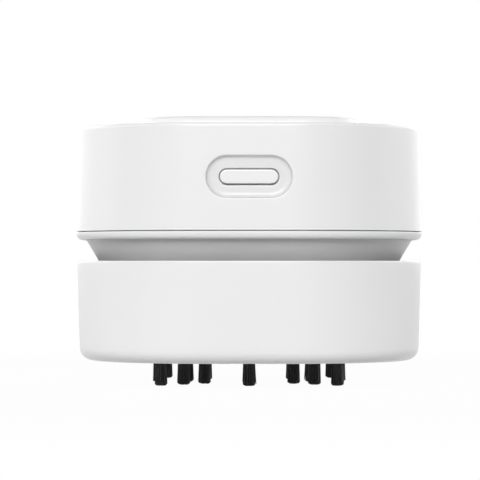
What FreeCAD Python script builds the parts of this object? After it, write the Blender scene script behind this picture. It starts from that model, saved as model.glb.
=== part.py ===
import FreeCAD, Part
import math
import os
import re
import Sketcher

# Desktop mini vacuum cleaner: a dust box on brush tufts under a lift-off head with motor and fan.
# Millimetres. +Z is up, the button faces -Y, and the origin lies between the bristle tips, at
# the middle of the underside.

TOUCH = 1e-4
CORNERS = ((1, 1), (-1, 1), (-1, -1), (1, -1))

SIZES = [
    # Casing, seen from above a square with large round corners
    ("body_width", 84.0, "across the flats at the bezel, the widest place"),
    ("flat_width", 20.0, "straight middle of each side, between the corner rounds"),
    ("part_gap", 0.3, "side gap between bodies that come apart"),
    ("rest_gap", 0.15, "gap under a body that stands on another"),
    ("seat_gap", 0.05, "side gap of a piece in its seat"),
    ("running_gap", 0.05, "radial gap of a turning shaft"),
    ("overrun", 1.0, "how far a cut runs past a face"),
    # Brush
    ("bristle_length", 5.9, "from the tips up to the underside of the box"),
    ("tuft_root_radius", 1.45, "tuft where it leaves the plate"),
    ("tuft_tip_radius", 1.62, "tuft at its cut tips"),
    ("tuft_seat_depth", 1.4, "how deep a tuft is set in the plate"),
    ("inner_ring_share", 0.282, "circle of the inner tufts, on the way from mouth to plate side"),
    ("outer_ring_share", 0.694, "circle of the outer tufts, on the same way"),
    ("corner_tuft_inset", 3.25, "corner tufts in from the plate's corners"),
    ("ring_tuft_count", 8, "tufts in each ring"),
    ("corner_tuft_count", 4, "tufts at the corners"),
    ("plate_width", 55.0, "brush plate across the flats"),
    ("plate_corner", 14.0, "brush plate corner radius"),
    ("plate_thick", 2.0, "brush plate thickness"),
    ("plate_recess", 0.25, "how far the plate lies inside the underside"),
    ("peg_radius", 1.5, "pegs that hold the plate"),
    ("peg_inset", 2.9, "circle of the pegs in from the plate's side"),
    ("peg_turn", 22.5, "degrees from the X axis to the first peg"),
    ("peg_count", 4, "pegs on the plate"),
    ("mouth_radius", 10.5, "suction mouth and inlet tube, inside"),
    ("mouth_flare", 1.2, "chamfer round the mouth"),
    # Dust box
    ("box_height", 24.0, "underside to rim"),
    ("box_inset", 0.2, "rim in from the bezel's side"),
    ("box_draft", 1.6, "degrees of taper towards the underside"),
    ("box_edge_round", 4.0, "round of the lower outside edge"),
    ("box_rim_round", 0.35, "round of the rim"),
    ("box_wall", 2.4, "side wall at the rim"),
    ("box_floor", 2.0, "floor thickness"),
    ("box_inner_round", 1.2, "round inside, between floor and wall"),
    ("pan_floor", 1.5, "floor over the brush plate"),
    ("pan_wall", 1.8, "step of the floor round the brush plate"),
    ("tube_wall", 1.5, "wall of the inlet tube"),
    ("tube_round", 0.5, "round of the inlet tube's rim"),
    ("tube_drop", 2.6, "inlet tube ends below the filter seat"),
    ("rib_width", 1.6, "ribs that carry the filter"),
    ("rib_depth", 1.8, "how far the ribs stand in from the wall"),
    ("rib_root", 0.4, "how far the ribs reach into the wall"),
    ("rib_spread", 11.0, "ribs from the middle of each side"),
    ("side_count", 4, "sides of the casing"),
    # Filter
    ("frame_height", 3.0, "filter frame"),
    ("frame_rim", 4.6, "width of the frame's rim"),
    ("frame_round", 0.5, "round of the frame's upper edge"),
    ("bar_width", 1.8, "crossed bars under the filter sheet"),
    ("bar_height", 0.9, "height of the bars"),
    ("pleat_pitch", 4.2, "distance from fold to fold"),
    ("pleat_height", 1.7, "height of a fold"),
    ("sheet_thick", 0.35, "filter sheet, measured upwards"),
    # Neck with the exhaust slots
    ("groove_height", 5.1, "open groove from the rim up to the bezel"),
    ("neck_inset", 2.9, "neck under the bezel, in from the bezel's side"),
    ("neck_slope", 30.6, "degrees between the neck's side and upright"),
    ("neck_drop", 3.5, "how far the neck's foot lies under the rim"),
    ("neck_wall", 1.8, "wall, measured level"),
    ("neck_cove", 0.9, "hollow round between neck and flange"),
    ("flange_height", 1.2, "flange inside the bezel"),
    ("foot_deck", 1.5, "deck at the neck's foot"),
    ("spigot_depth", 4.6, "spigot that plugs into the box"),
    ("spigot_wall", 1.5, "wall of the spigot"),
    ("shelf_thick", 1.5, "shelf under the motor deck"),
    ("fan_opening_gap", 4.5, "round opening in the shelf, past the fan"),
    ("deck_thick", 1.9, "motor deck"),
    ("deck_rim", 2.65, "flange left round the motor deck"),
    ("slot_width", 4.2, "exhaust slot"),
    ("slot_height", 2.5, "exhaust slot"),
    ("slot_pitch", 7.0, "from slot to slot"),
    ("slot_rise", 0.4, "slots above the foot of the neck"),
    ("slot_count", 5, "exhaust slots on each side"),
    ("seal_height", 1.6, "sealing ring"),
    ("seal_depth", 1.0, "depth of its groove"),
    ("seal_rise", 1.2, "groove above the foot of the spigot"),
    ("seal_gap", 0.1, "sealing ring to the box wall"),
    ("seal_lip", 0.2, "how far the ring stands out of its groove"),
    # Fan
    ("inlet_plate_thick", 1.5, "plate under the fan"),
    ("eye_radius", 12.5, "opening under the fan"),
    ("eye_round", 0.6, "round of the opening's edges"),
    ("fan_gap", 1.0, "fan above the inlet plate"),
    ("fan_side_room", 5.35, "fan to the chamber's wall at its foot"),
    ("fan_eye_radius", 10.0, "where the blades start"),
    ("blade_height", 5.4, "blades under the back plate"),
    ("blade_thick", 1.1, "blade thickness"),
    ("blade_sweep", 63.5, "degrees that a blade turns back from eye to outside"),
    ("blade_bow", 2.7, "rise of a blade's arc over its chord"),
    ("blade_count", 11, "blades"),
    ("fan_plate_thick", 1.0, "back plate of the fan"),
    ("fan_hub_radius", 3.6, "hub"),
    ("fan_hub_flare", 2.6, "hollow round from hub to back plate"),
    ("fan_hub_rise", 1.0, "hub above the back plate"),
    # Motor
    ("shaft_radius", 1.0, "motor shaft"),
    ("shaft_chamfer", 0.25, "ends of the shaft"),
    ("motor_radius", 12.1, "can"),
    ("can_round", 1.4, "round of the can's edges"),
    ("motor_boss_radius", 3.0, "boss on the drive end"),
    ("motor_boss_height", 1.3, "boss on the drive end"),
    ("end_cap_height", 2.2, "plastic end cap"),
    ("end_cap_step", 0.6, "end cap smaller than the can"),
    ("end_boss_radius", 3.0, "bush on the end cap"),
    ("end_boss_height", 0.8, "bush on the end cap"),
    ("tab_width", 2.2, "motor terminal"),
    ("tab_thick", 0.5, "motor terminal"),
    ("tab_reach", 3.4, "motor terminal"),
    ("cup_wall", 1.9, "cup round the motor"),
    ("cup_height", 10.0, "cup round the motor"),
    ("gusset_reach", 6.0, "gussets from the cup"),
    ("gusset_thick", 1.4, "gussets"),
    ("gusset_count", 5, "gussets round the front half"),
    ("damper_width", 4.0, "rubber ring over the motor"),
    ("damper_height", 1.6, "rubber ring over the motor"),
    ("motor_screw_place", 8.0, "from the shaft"),
    ("motor_screw_radius", 1.0, "M2"),
    ("motor_screw_head", 1.8, "head radius"),
    ("motor_screw_head_height", 1.2, "head"),
    ("motor_screw_grip", 2.2, "thread in the can"),
    # Screws that close the head
    ("screw_inset", 11.5, "in from the bezel's corners"),
    ("screw_radius", 1.25, "M2.5"),
    ("screw_hole_radius", 1.45, "clearance hole"),
    ("screw_head_radius", 2.3, "pan head"),
    ("screw_head_height", 1.6, "pan head"),
    ("screw_length", 12.0, "shank"),
    ("screw_boss_radius", 3.3, "boss in the shell"),
    ("screw_boss_root", 0.6, "how far the bosses reach into the roof"),
    ("screw_boss_spare", 1.5, "pilot hole past the screw's point"),
    ("head_round_share", 0.25, "round of a screw head, of its height"),
    ("cross_width", 0.6, "cross recess in a screw head"),
    ("cross_reach", 1.5, "length of one arm pair from the middle"),
    ("cross_depth", 0.8, "cross recess in a screw head"),
    # Bezel
    ("bezel_height", 1.8, "visible height"),
    ("bezel_land", 1.7, "flat ring under the bezel"),
    ("bezel_round", 1.0, "round of the lower edge"),
    ("bezel_ledge", 0.5, "ledge over the neck's flange"),
    ("ledge_width", 3.4, "from the outside to the inside of the ledge"),
    ("lip_height", 2.0, "lip inside the shell"),
    ("flange_gap", 0.15, "neck flange in the bezel"),
    # Upper shell
    ("seam_gap", 0.2, "shadow line between bezel and shell"),
    ("shell_height", 25.0, "seam to shoulder"),
    ("shell_draft", 1.5, "degrees of taper towards the top"),
    ("shell_wall", 2.0, "side wall"),
    ("shell_roof", 2.4, "roof"),
    ("shoulder_round", 0.8, "round of the shoulder"),
    # Cap on the roof
    ("cap_inset", 15.3, "in from the bezel's side"),
    ("cap_corner", 14.0, "corner radius"),
    ("cap_rise", 2.3, "above the shoulder"),
    ("cap_round", 2.0, "round of the upper edge"),
    ("cap_seat", 1.0, "depth of its recess"),
    ("cap_gap", 0.12, "shadow line round the cap"),
    ("cap_peg_inset", 7.9, "pegs in from the cap's corners"),
    ("cap_peg_radius", 1.2, "pegs"),
    # Power button
    ("button_rise", 12.4, "its middle above the seam"),
    ("button_width", 13.6, "face"),
    ("button_height", 3.3, "face"),
    ("button_gap", 0.25, "round the button"),
    ("button_sink", 0.2, "face behind the front"),
    ("button_travel", 0.6, "push"),
    ("button_face_round", 0.35, "round of the face"),
    ("button_flange_margin", 1.3, "collar round the button, inside"),
    ("button_flange_thick", 1.0, "collar"),
    ("button_flange_gap", 0.1, "collar behind the panel"),
    ("recess_width", 20.0, "recess round the button"),
    ("recess_height", 9.8, "recess round the button"),
    ("recess_depth", 1.2, "recess round the button"),
    ("recess_round", 0.3, "round of the recess's edge"),
    ("recess_floor_round", 0.8, "hollow round of the recess's floor"),
    ("panel_thick", 1.8, "wall behind the recess"),
    ("panel_margin", 2.2, "thick wall past the recess"),
    # Switch and control board
    ("switch_gap", 0.4, "collar to switch when pushed"),
    ("switch_width", 6.0, "switch body"),
    ("switch_depth", 3.2, "switch body"),
    ("plunger_radius", 1.6, "switch plunger"),
    ("plunger_gap", 0.15, "plunger in the switch"),
    ("plunger_grip", 1.6, "plunger inside the switch at rest"),
    ("board_thick", 1.2, "circuit boards"),
    ("board_width", 26.4, "control board"),
    ("board_head_room", 3.2, "control board under the roof"),
    ("post_width", 4.0, "posts that hold the board"),
    ("post_height", 12.0, "posts that hold the board"),
    ("chip_width", 5.0, "controller chip"),
    ("chip_thick", 1.1, "controller chip"),
    # Cell and cradle
    ("cell_length", 34.0, "flat rechargeable cell"),
    ("cell_thick", 7.5, "flat rechargeable cell"),
    ("cell_edge", 1.6, "round of the cell's upright edges"),
    ("cell_head_room", 3.0, "cell under the roof"),
    ("cell_head_height", 2.4, "taped circuit on top of the cell"),
    ("cell_head_inset", 1.2, "taped circuit in from the cell's sides"),
    ("cradle_floor", 1.2, "cradle under the cell"),
    ("cradle_wall", 1.2, "cradle round the cell"),
    ("cradle_height", 5.0, "cradle above its floor"),
    ("cradle_gap", 0.5, "cradle to the motor's cup"),
    ("cradle_notch", 12.0, "open middle of the cradle's long walls"),
    # Charging socket
    ("port_width", 8.94, "socket shell"),
    ("port_height", 3.2, "socket shell"),
    ("port_depth", 7.3, "socket shell"),
    ("port_sheet", 0.3, "socket shell"),
    ("port_hollow", 6.2, "inside of the socket"),
    ("tongue_width", 6.7, "contact tongue"),
    ("tongue_thick", 0.7, "contact tongue"),
    ("tongue_length", 5.0, "contact tongue"),
    ("port_gap", 0.3, "wall round the socket"),
    ("port_sink", 0.6, "socket behind the back wall"),
    ("charge_board_rise", 2.0, "charging board above the deck"),
    ("charge_board_width", 16.0, "charging board"),
    ("charge_board_depth", 6.0, "charging board"),
    ("charge_board_inset", 1.8, "charging board in from the shell's inside"),
    ("charge_post_radius", 1.7, "posts under the charging board"),
    ("charge_post_place", 6.0, "posts from the middle plane"),
    ("charge_screw_radius", 0.8, "board screws"),
    ("charge_screw_head", 1.4, "head radius"),
    ("charge_screw_head_height", 0.9, "head"),
    ("charge_screw_grip", 1.6, "thread in the post"),
]

PLACES = {
    # Levels, from the tips up
    "box_bottom": "bristle_length",
    "box_top": "box_bottom + box_height",
    "floor_top": "box_bottom + box_floor",
    "plate_bottom": "box_bottom + plate_recess",
    "plate_top": "plate_bottom + plate_thick",
    "pan_top": "plate_top + pan_floor",
    "filter_seat": "spigot_bottom - rest_gap - frame_height - rest_gap",
    "tube_top": "filter_seat - tube_drop",
    "frame_bottom": "filter_seat + rest_gap",
    "frame_top": "frame_bottom + frame_height",
    "pleat_bottom": "frame_bottom + bar_height",
    "spigot_bottom": "neck_foot - spigot_depth",
    "neck_foot": "box_top - neck_drop",
    "foot_deck_bottom": "neck_foot - foot_deck",
    "seal_bottom": "spigot_bottom + seal_rise",
    "bezel_bottom": "box_top + groove_height",
    "bezel_top": "bezel_bottom + bezel_height",
    "deck_top": "bezel_bottom + flange_height",
    "deck_bottom": "deck_top - deck_thick",
    "shelf_bottom": "deck_bottom - shelf_thick",
    "inlet_plate_bottom": "foot_deck_bottom - inlet_plate_thick",
    "fan_bottom": "foot_deck_bottom + fan_gap",
    "blade_top": "fan_bottom + blade_height",
    "fan_plate_top": "blade_top + fan_plate_thick",
    "fan_hub_top": "fan_plate_top + fan_hub_rise",
    "end_cap_top": "roof_bottom - damper_height",
    "can_top": "end_cap_top - end_cap_height",
    "end_boss_top": "end_cap_top + end_boss_height",
    "shaft_bottom": "fan_bottom + fan_plate_thick + seat_gap",
    "shaft_top": "end_boss_top",
    "button_level": "shell_bottom + button_rise",
    "shell_bottom": "bezel_top + seam_gap",
    "shoulder": "shell_bottom + shell_height",
    "roof_bottom": "shoulder - shell_roof",
    "cap_bottom": "shoulder - cap_seat",
    "cap_top": "shoulder + cap_rise",
    "charge_board_bottom": "deck_top + charge_board_rise",
    "charge_board_top": "charge_board_bottom + board_thick",
    "port_level": "charge_board_top + port_height/2",
    "cell_bottom": "deck_top + cradle_floor",
    "cell_top": "roof_bottom - cell_head_room",
    # Half widths, from the middle planes out
    "body_half": "body_width/2",
    "straight_half": "flat_width/2",
    "corner_round": "body_half - straight_half",
    "box_half": "body_half - box_inset",
    "box_foot_half": "box_half - box_height*tan(box_draft)",
    "box_inner_half": "box_half - box_wall",
    "plate_half": "plate_width/2",
    "plate_seat_half": "plate_half + seat_gap",
    "plate_seat_corner": "plate_corner + seat_gap",
    "pan_half": "plate_seat_half + pan_wall",
    "frame_half": "box_inner_half - part_gap",
    "frame_opening": "frame_half - frame_rim",
    "spigot_half": "box_inner_half - part_gap",
    "spigot_inner": "spigot_half - spigot_wall",
    "seal_outer": "box_inner_half - seal_gap",
    "seal_inner": "spigot_half - seal_depth",
    "neck_half": "body_half - neck_inset",
    "neck_foot_half": "neck_half - (bezel_bottom - neck_foot)*tan(neck_slope)",
    "chamber_top_half": "neck_half - (bezel_bottom - shelf_bottom)*tan(neck_slope) - neck_wall",
    "chamber_foot_half": "neck_half - (bezel_bottom - foot_deck_bottom)*tan(neck_slope) - neck_wall",
    "ring_opening": "body_half - bezel_land",
    "flange_half": "ring_opening - flange_gap",
    "deck_seat_half": "flange_half - deck_rim",
    "deck_half": "deck_seat_half - seat_gap",
    "ledge_half": "body_half - ledge_width",
    "shell_inner": "body_half - shell_wall",
    "lip_half": "shell_inner - flange_gap",
    "cap_half": "body_half - cap_inset",
    "cup_radius": "motor_radius + seat_gap",
    "cup_outer": "cup_radius + cup_wall",
    "fan_radius": "chamber_foot_half - fan_side_room",
    "fan_opening_radius": "fan_radius + fan_opening_gap",
    # One blade: from the eye's circle on the X axis to the outside, on an arc
    "blade_reach": "fan_radius - blade_thick/2",
    "blade_run_x": "blade_reach*cos(blade_sweep) - fan_eye_radius",
    "blade_run_y": "-blade_reach*sin(blade_sweep)",
    "blade_chord": "sqrt(blade_run_x*blade_run_x + blade_run_y*blade_run_y)",
    "blade_bend": "(blade_chord*blade_chord/4 + blade_bow*blade_bow)/(2*blade_bow)",
    "blade_middle_x": "fan_eye_radius + blade_run_x/2 + (blade_bend - blade_bow)*blade_run_y/blade_chord",
    "blade_middle_y": "blade_run_y/2 - (blade_bend - blade_bow)*blade_run_x/blade_chord",
    "blade_edge_share": "blade_thick/(2*blade_bend)",
    # Distances from the middle plane to the front
    "front_face": "body_half - (button_level - shell_bottom)*tan(shell_draft)",
    "front_bend": "max(recess_width/2 + recess_round - straight_half; 0)",
    "front_bow": "corner_round - sqrt(corner_round*corner_round - front_bend*front_bend)",
    "recess_floor": "front_face - front_bow - recess_depth",
    "panel_back": "recess_floor - panel_thick",
    "button_face": "front_face - button_sink",
    "collar_front": "panel_back - button_flange_gap",
    "collar_back": "collar_front - button_flange_thick",
    "switch_front": "collar_back - button_travel - switch_gap",
    "board_front": "switch_front - switch_depth",
    "board_back": "board_front - board_thick",
    "plunger_back": "switch_front - plunger_grip",
    "plunger_room": "plunger_back - button_travel - plunger_gap",
    # Distances from the middle plane to the back
    "back_face": "body_half - (port_level - shell_bottom)*tan(shell_draft)",
    "port_mouth": "back_face - port_sink",
    "charge_board_back": "shell_inner - charge_board_inset",
    "charge_board_front": "charge_board_back - charge_board_depth",
    "charge_post_depth": "charge_board_front + charge_board_depth/2",
    "cell_front": "cup_outer + cradle_gap + cradle_wall + seat_gap",
    "cell_back": "cell_front + cell_thick",
    # Places seen from above
    "peg_x": "(plate_half - peg_inset)*cos(peg_turn)",
    "peg_y": "(plate_half - peg_inset)*sin(peg_turn)",
    "inner_ring_radius": "mouth_radius + (plate_half - mouth_radius)*inner_ring_share",
    "outer_ring_radius": "mouth_radius + (plate_half - mouth_radius)*outer_ring_share",
    "corner_tuft_place": "plate_half - plate_corner + (plate_corner - corner_tuft_inset)/sqrt(2)",
    "screw_place": "straight_half + (corner_round - screw_inset)/sqrt(2)",
    "cap_peg_place": "cap_half - cap_corner + (cap_corner - cap_peg_inset)/sqrt(2)",
}

WORD = re.compile(r"\b[a-z][a-z_]*\b(?!\()")

doc = FreeCAD.newDocument("DeskVacuum")
sheet = doc.addObject("Spreadsheet::Sheet", "Sizes")
for row, (alias, number, meaning) in enumerate(SIZES, start=1):
    sheet.set("A%d" % row, str(number))
    sheet.setAlias("A%d" % row, alias)
    sheet.set("B%d" % row, meaning)
for row, alias in enumerate(PLACES, start=1):
    sheet.setAlias("C%d" % row, alias)
for row, formula in enumerate(PLACES.values(), start=1):
    sheet.set("C%d" % row, "=" + formula)
doc.recompute()

PARTS = []


# Words and numbers

def number_of(text):
    """The present value of an expression."""
    return float(sheet.evalExpression(text))


def bind(thing, name, text):
    """Tie a property of a document object to the sheet."""
    thing.setExpression(name, WORD.sub(lambda found: "Sizes." + found.group(0), text))


def corner_at(half):
    """The corner radius of the casing's plan, drawn in to a smaller half width."""
    return "(%s) - straight_half" % half


# Sketches

def new_body(label):
    """Start a sub-part."""
    body = doc.addObject("PartDesign::Body", label)
    body.Label = label
    PARTS.append(body)
    return body


def origin_of(body, role):
    """A plane or an axis of the body's own origin."""
    return next(item for item in body.Origin.OriginFeatures if item.Role == role)


def sketch_on(body, name, role="XY_Plane", at="0"):
    """A sketch on an origin plane, moved along its normal: up on XY, to the front on XZ, right on YZ."""
    sketch = body.newObject("Sketcher::SketchObject", name)
    sketch.AttachmentSupport = [(origin_of(body, role), "")]
    sketch.MapMode = "FlatFace"
    bind(sketch, "AttachmentOffset.Base.z", at)
    return sketch


def tie(sketch, kind, *where_and_size):
    """Add a measured constraint and bind it to an expression, given last."""
    text = where_and_size[-1]
    place = sketch.addConstraint(Sketcher.Constraint(kind, *where_and_size[:-1], number_of(text)))
    bind(sketch, "Constraints[%d]" % place, text)


def hold(sketch, kind, *where):
    """Add a constraint without a size."""
    sketch.addConstraint(Sketcher.Constraint(kind, *where))


def fix_point(sketch, line, end, x, y):
    """Tie one end of a line, or a centre, to a place given by two expressions."""
    for kind, text in (("DistanceX", x), ("DistanceY", y)):
        if text != "0":
            tie(sketch, kind, -1, 1, line, end, text)
    if x == "0" and y == "0":
        hold(sketch, "Coincident", line, end, -1, 1)
    elif x == "0":
        hold(sketch, "PointOnObject", line, end, -2)
    elif y == "0":
        hold(sketch, "PointOnObject", line, end, -1)


def vector(x, y):
    """A place in a sketch."""
    return FreeCAD.Vector(x, y, 0)


def add_line(sketch, start, end):
    """A straight line between two places."""
    return sketch.addGeometry(Part.LineSegment(vector(*start), vector(*end)), False)


def add_arc(sketch, centre, radius, start, end):
    """An arc, anticlockwise from one angle in degrees to another."""
    circle = Part.Circle(vector(*centre), FreeCAD.Vector(0, 0, 1), radius)
    return sketch.addGeometry(Part.ArcOfCircle(circle, math.radians(start), math.radians(end)), False)


def rounded_square(sketch, half, corner):
    """A square with round corners about the middle: four lines and four tangent arcs."""
    reach = number_of(half)
    radius = number_of(corner)
    flat = reach - radius
    ids = []
    for turn in range(4):
        cosine = round(math.cos(math.radians(90 * turn)))
        sine = round(math.sin(math.radians(90 * turn)))
        start = (flat * -cosine - reach * -sine, flat * -sine + -reach * cosine)
        end = (flat * cosine + reach * sine, flat * sine - reach * cosine)
        ids.append(add_line(sketch, start, end))
        centre = (flat * cosine + flat * sine, flat * sine - flat * cosine)
        ids.append(add_arc(sketch, centre, radius, 90 * turn - 90, 90 * turn))
    for place, line in enumerate(ids):
        hold(sketch, "Tangent", line, 2, ids[(place + 1) % len(ids)], 1)
    hold(sketch, "Horizontal", ids[0])
    hold(sketch, "Vertical", ids[2])
    hold(sketch, "Horizontal", ids[4])
    hold(sketch, "Vertical", ids[6])
    for arc in ids[3::2]:
        hold(sketch, "Equal", ids[1], arc)
    hold(sketch, "Symmetric", ids[1], 3, ids[5], 3, -1, 1)
    tie(sketch, "Radius", ids[1], corner)
    tie(sketch, "DistanceX", -1, 1, ids[2], 1, half)
    tie(sketch, "DistanceY", -1, 1, ids[4], 1, half)


def circle(sketch, radius, x="0", y="0"):
    """A circle about a place."""
    middle = vector(number_of(x), number_of(y))
    ring = sketch.addGeometry(Part.Circle(middle, FreeCAD.Vector(0, 0, 1), number_of(radius)), False)
    fix_point(sketch, ring, 3, x, y)
    tie(sketch, "Radius", ring, radius)


def pill(sketch, width, height, level="0"):
    """A lying slot with round ends, about the middle plane at a level."""
    middle = number_of(level)
    radius = number_of(height) / 2
    flat = number_of(width) / 2 - radius
    ids = [add_line(sketch, (-flat, middle - radius), (flat, middle - radius)),
           add_arc(sketch, (flat, middle), radius, -90, 90),
           add_line(sketch, (flat, middle + radius), (-flat, middle + radius)),
           add_arc(sketch, (-flat, middle), radius, 90, 270)]
    for place, line in enumerate(ids):
        hold(sketch, "Tangent", line, 2, ids[(place + 1) % len(ids)], 1)
    hold(sketch, "Horizontal", ids[0])
    hold(sketch, "Equal", ids[1], ids[3])
    tie(sketch, "Radius", ids[1], "(%s)/2" % height)
    fix_point(sketch, ids[1], 3, "(%s)/2 - (%s)/2" % (width, height), level)
    tie(sketch, "DistanceX", -1, 1, ids[3], 3, "(%s)/2 - (%s)/2" % (height, width))


def outline(sketch, points):
    """A closed outline of straight lines through places given by expressions."""
    places = [(number_of(x), number_of(y)) for x, y in points]
    count = len(points)
    ids = [add_line(sketch, places[place], places[(place + 1) % count]) for place in range(count)]
    for place, (x, y) in enumerate(points):
        hold(sketch, "Coincident", ids[place - 1], 2, ids[place], 1)
        fix_point(sketch, ids[place], 1, x, y)


def rectangle(sketch, left, right, low, high):
    """An upright rectangle between four expressions."""
    outline(sketch, [(left, low), (right, low), (right, high), (left, high)])


# Features

def finished(feature):
    """Work the model out and stop if the feature failed."""
    doc.recompute()
    if "Invalid" in feature.State or "Error" in feature.State or feature.Shape.isNull():
        raise RuntimeError("%s failed: %s" % (feature.Label, feature.State))
    return feature


def pad(body, name, sketch, length, taper=None, down=False, both=False):
    """Add material along the sketch's normal, or against it."""
    before = body.Shape.Volume if body.Shape and not body.Shape.isNull() else 0.0
    feature = body.newObject("PartDesign::Pad", name)
    feature.Profile = sketch
    feature.Reversed = down
    if both:
        feature.SideType = "Symmetric"
    bind(feature, "Length", length)
    if taper:
        bind(feature, "TaperAngle", taper)
    finished(feature)
    if feature.Shape.Volume <= before:
        raise RuntimeError("%s adds nothing" % name)
    return feature


def pocket(body, name, sketch, length, taper=None, forward=False, both=False):
    """Take material away against the sketch's normal, or along it."""
    before = body.Shape.Volume
    feature = body.newObject("PartDesign::Pocket", name)
    feature.Profile = sketch
    feature.Reversed = forward
    if both:
        feature.SideType = "Symmetric"
    bind(feature, "Length", length)
    if taper:
        bind(feature, "TaperAngle", taper)
    finished(feature)
    if feature.Shape.Volume >= before:
        raise RuntimeError("%s cuts nothing" % name)
    return feature


def revolve(body, name, sketch):
    """Turn a sketch round its upright axis."""
    feature = body.newObject("PartDesign::Revolution", name)
    feature.Profile = sketch
    feature.ReferenceAxis = (sketch, ["V_Axis"])
    feature.Angle = 360
    return finished(feature)


def edges_where(feature, test):
    """Names of the edges whose ends and middle all pass a test."""
    names = []
    for place, edge in enumerate(feature.Shape.Edges, start=1):
        first, last = edge.ParameterRange
        spots = [edge.valueAt(first), edge.valueAt((first + last) / 2), edge.valueAt(last)]
        if all(test(spot) for spot in spots):
            names.append("Edge%d" % place)
    return names


def soften(body, name, feature, test, size, kind="Fillet"):
    """Round or chamfer the edges that pass a test."""
    names = edges_where(feature, test)
    if not names:
        raise RuntimeError("%s found no edge" % name)
    work = body.newObject("PartDesign::" + kind, name)
    work.Base = (feature, names)
    bind(work, "Radius" if kind == "Fillet" else "Size", size)
    return finished(work)


def at_level(*texts):
    """A test for edges that lie at one of the given heights."""
    levels = [number_of(text) for text in texts]
    return lambda spot: any(abs(spot.z - level) < TOUCH for level in levels)


def at_depth(text):
    """A test for edges that lie at a distance in front of the middle plane."""
    depth = number_of(text)
    return lambda spot: abs(-spot.y - depth) < TOUCH


def in_front_of(text):
    """A test for edges that lie further to the front than a distance."""
    depth = number_of(text)
    return lambda spot: -spot.y > depth


def within(half):
    """A test for edges inside a half width, seen from above."""
    reach = number_of(half)
    return lambda spot: max(abs(spot.x), abs(spot.y)) < reach + TOUCH


def beyond(half):
    """A test for edges that reach outside a half width on the flats or the corners."""
    reach = number_of(half)
    return lambda spot: math.hypot(spot.x, spot.y) > reach - TOUCH


def every(*tests):
    """A test that asks for all of the given ones."""
    return lambda spot: all(test(spot) for test in tests)


def ring_of(body, name, features, count, angle=360.0):
    """Repeat features round the upright axis."""
    pattern = body.newObject("PartDesign::PolarPattern", name)
    pattern.Originals = features
    pattern.Axis = (origin_of(body, "Z_Axis"), [""])
    pattern.Angle = angle
    bind(pattern, "Occurrences", count)
    body.Tip = pattern
    return finished(pattern)


def mirror_of(body, name, features, role):
    """Repeat features on the other side of an origin plane."""
    mirrored = body.newObject("PartDesign::Mirrored", name)
    mirrored.Originals = features
    mirrored.MirrorPlane = (origin_of(body, role), [""])
    body.Tip = mirrored
    return finished(mirrored)


# Brush plate with its tufts

def make_brush_plate():
    """Flat plate with the suction mouth, blind holes for the tufts and four pegs."""
    body = new_body("brush_plate")
    plan = sketch_on(body, "PlatePlan", at="plate_bottom")
    rounded_square(plan, "plate_half", "plate_corner")
    circle(plan, "mouth_radius")
    plate = pad(body, "Plate", plan, "plate_thick")
    mouth = every(at_level("plate_bottom"), within("mouth_radius"))
    soften(body, "MouthFlare", plate, mouth, "mouth_flare", "Chamfer")
    peg_plan = sketch_on(body, "PegPlan", at="plate_top")
    circle(peg_plan, "peg_radius", "peg_x", "peg_y")
    peg = pad(body, "Peg", peg_plan, "pan_floor")
    ring_of(body, "Pegs", [peg], "peg_count")
    rings = [("InnerHole", "inner_ring_radius", "0", "ring_tuft_count"),
             ("OuterHole", "outer_ring_radius", "0", "ring_tuft_count"),
             ("CornerHole", "corner_tuft_place", "corner_tuft_place", "corner_tuft_count")]
    for name, x, y, count in rings:
        hole_plan = sketch_on(body, name + "Plan", at="plate_bottom")
        circle(hole_plan, "tuft_root_radius + seat_gap", x, y)
        hole = pocket(body, name, hole_plan, "tuft_seat_depth + seat_gap", forward=True)
        ring_of(body, name + "s", [hole], count)


def make_tufts(label, x, y, count):
    """Tufts that flare a little towards their flat cut tips, each with its root in the plate."""
    body = new_body(label)
    body.AllowCompound = True
    tip_plan = sketch_on(body, "TipPlan")
    circle(tip_plan, "tuft_root_radius", x, y)
    flare = "atan((tuft_tip_radius - tuft_root_radius)/plate_bottom)"
    root = pad(body, "Root", tip_plan, "plate_bottom + tuft_seat_depth")
    skirt_plan = sketch_on(body, "SkirtPlan", at="plate_bottom")
    circle(skirt_plan, "tuft_root_radius", x, y)
    skirt = pad(body, "Skirt", skirt_plan, "plate_bottom", taper=flare, down=True)
    ring_of(body, "Ring", [root, skirt], count)


# Dust box

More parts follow.
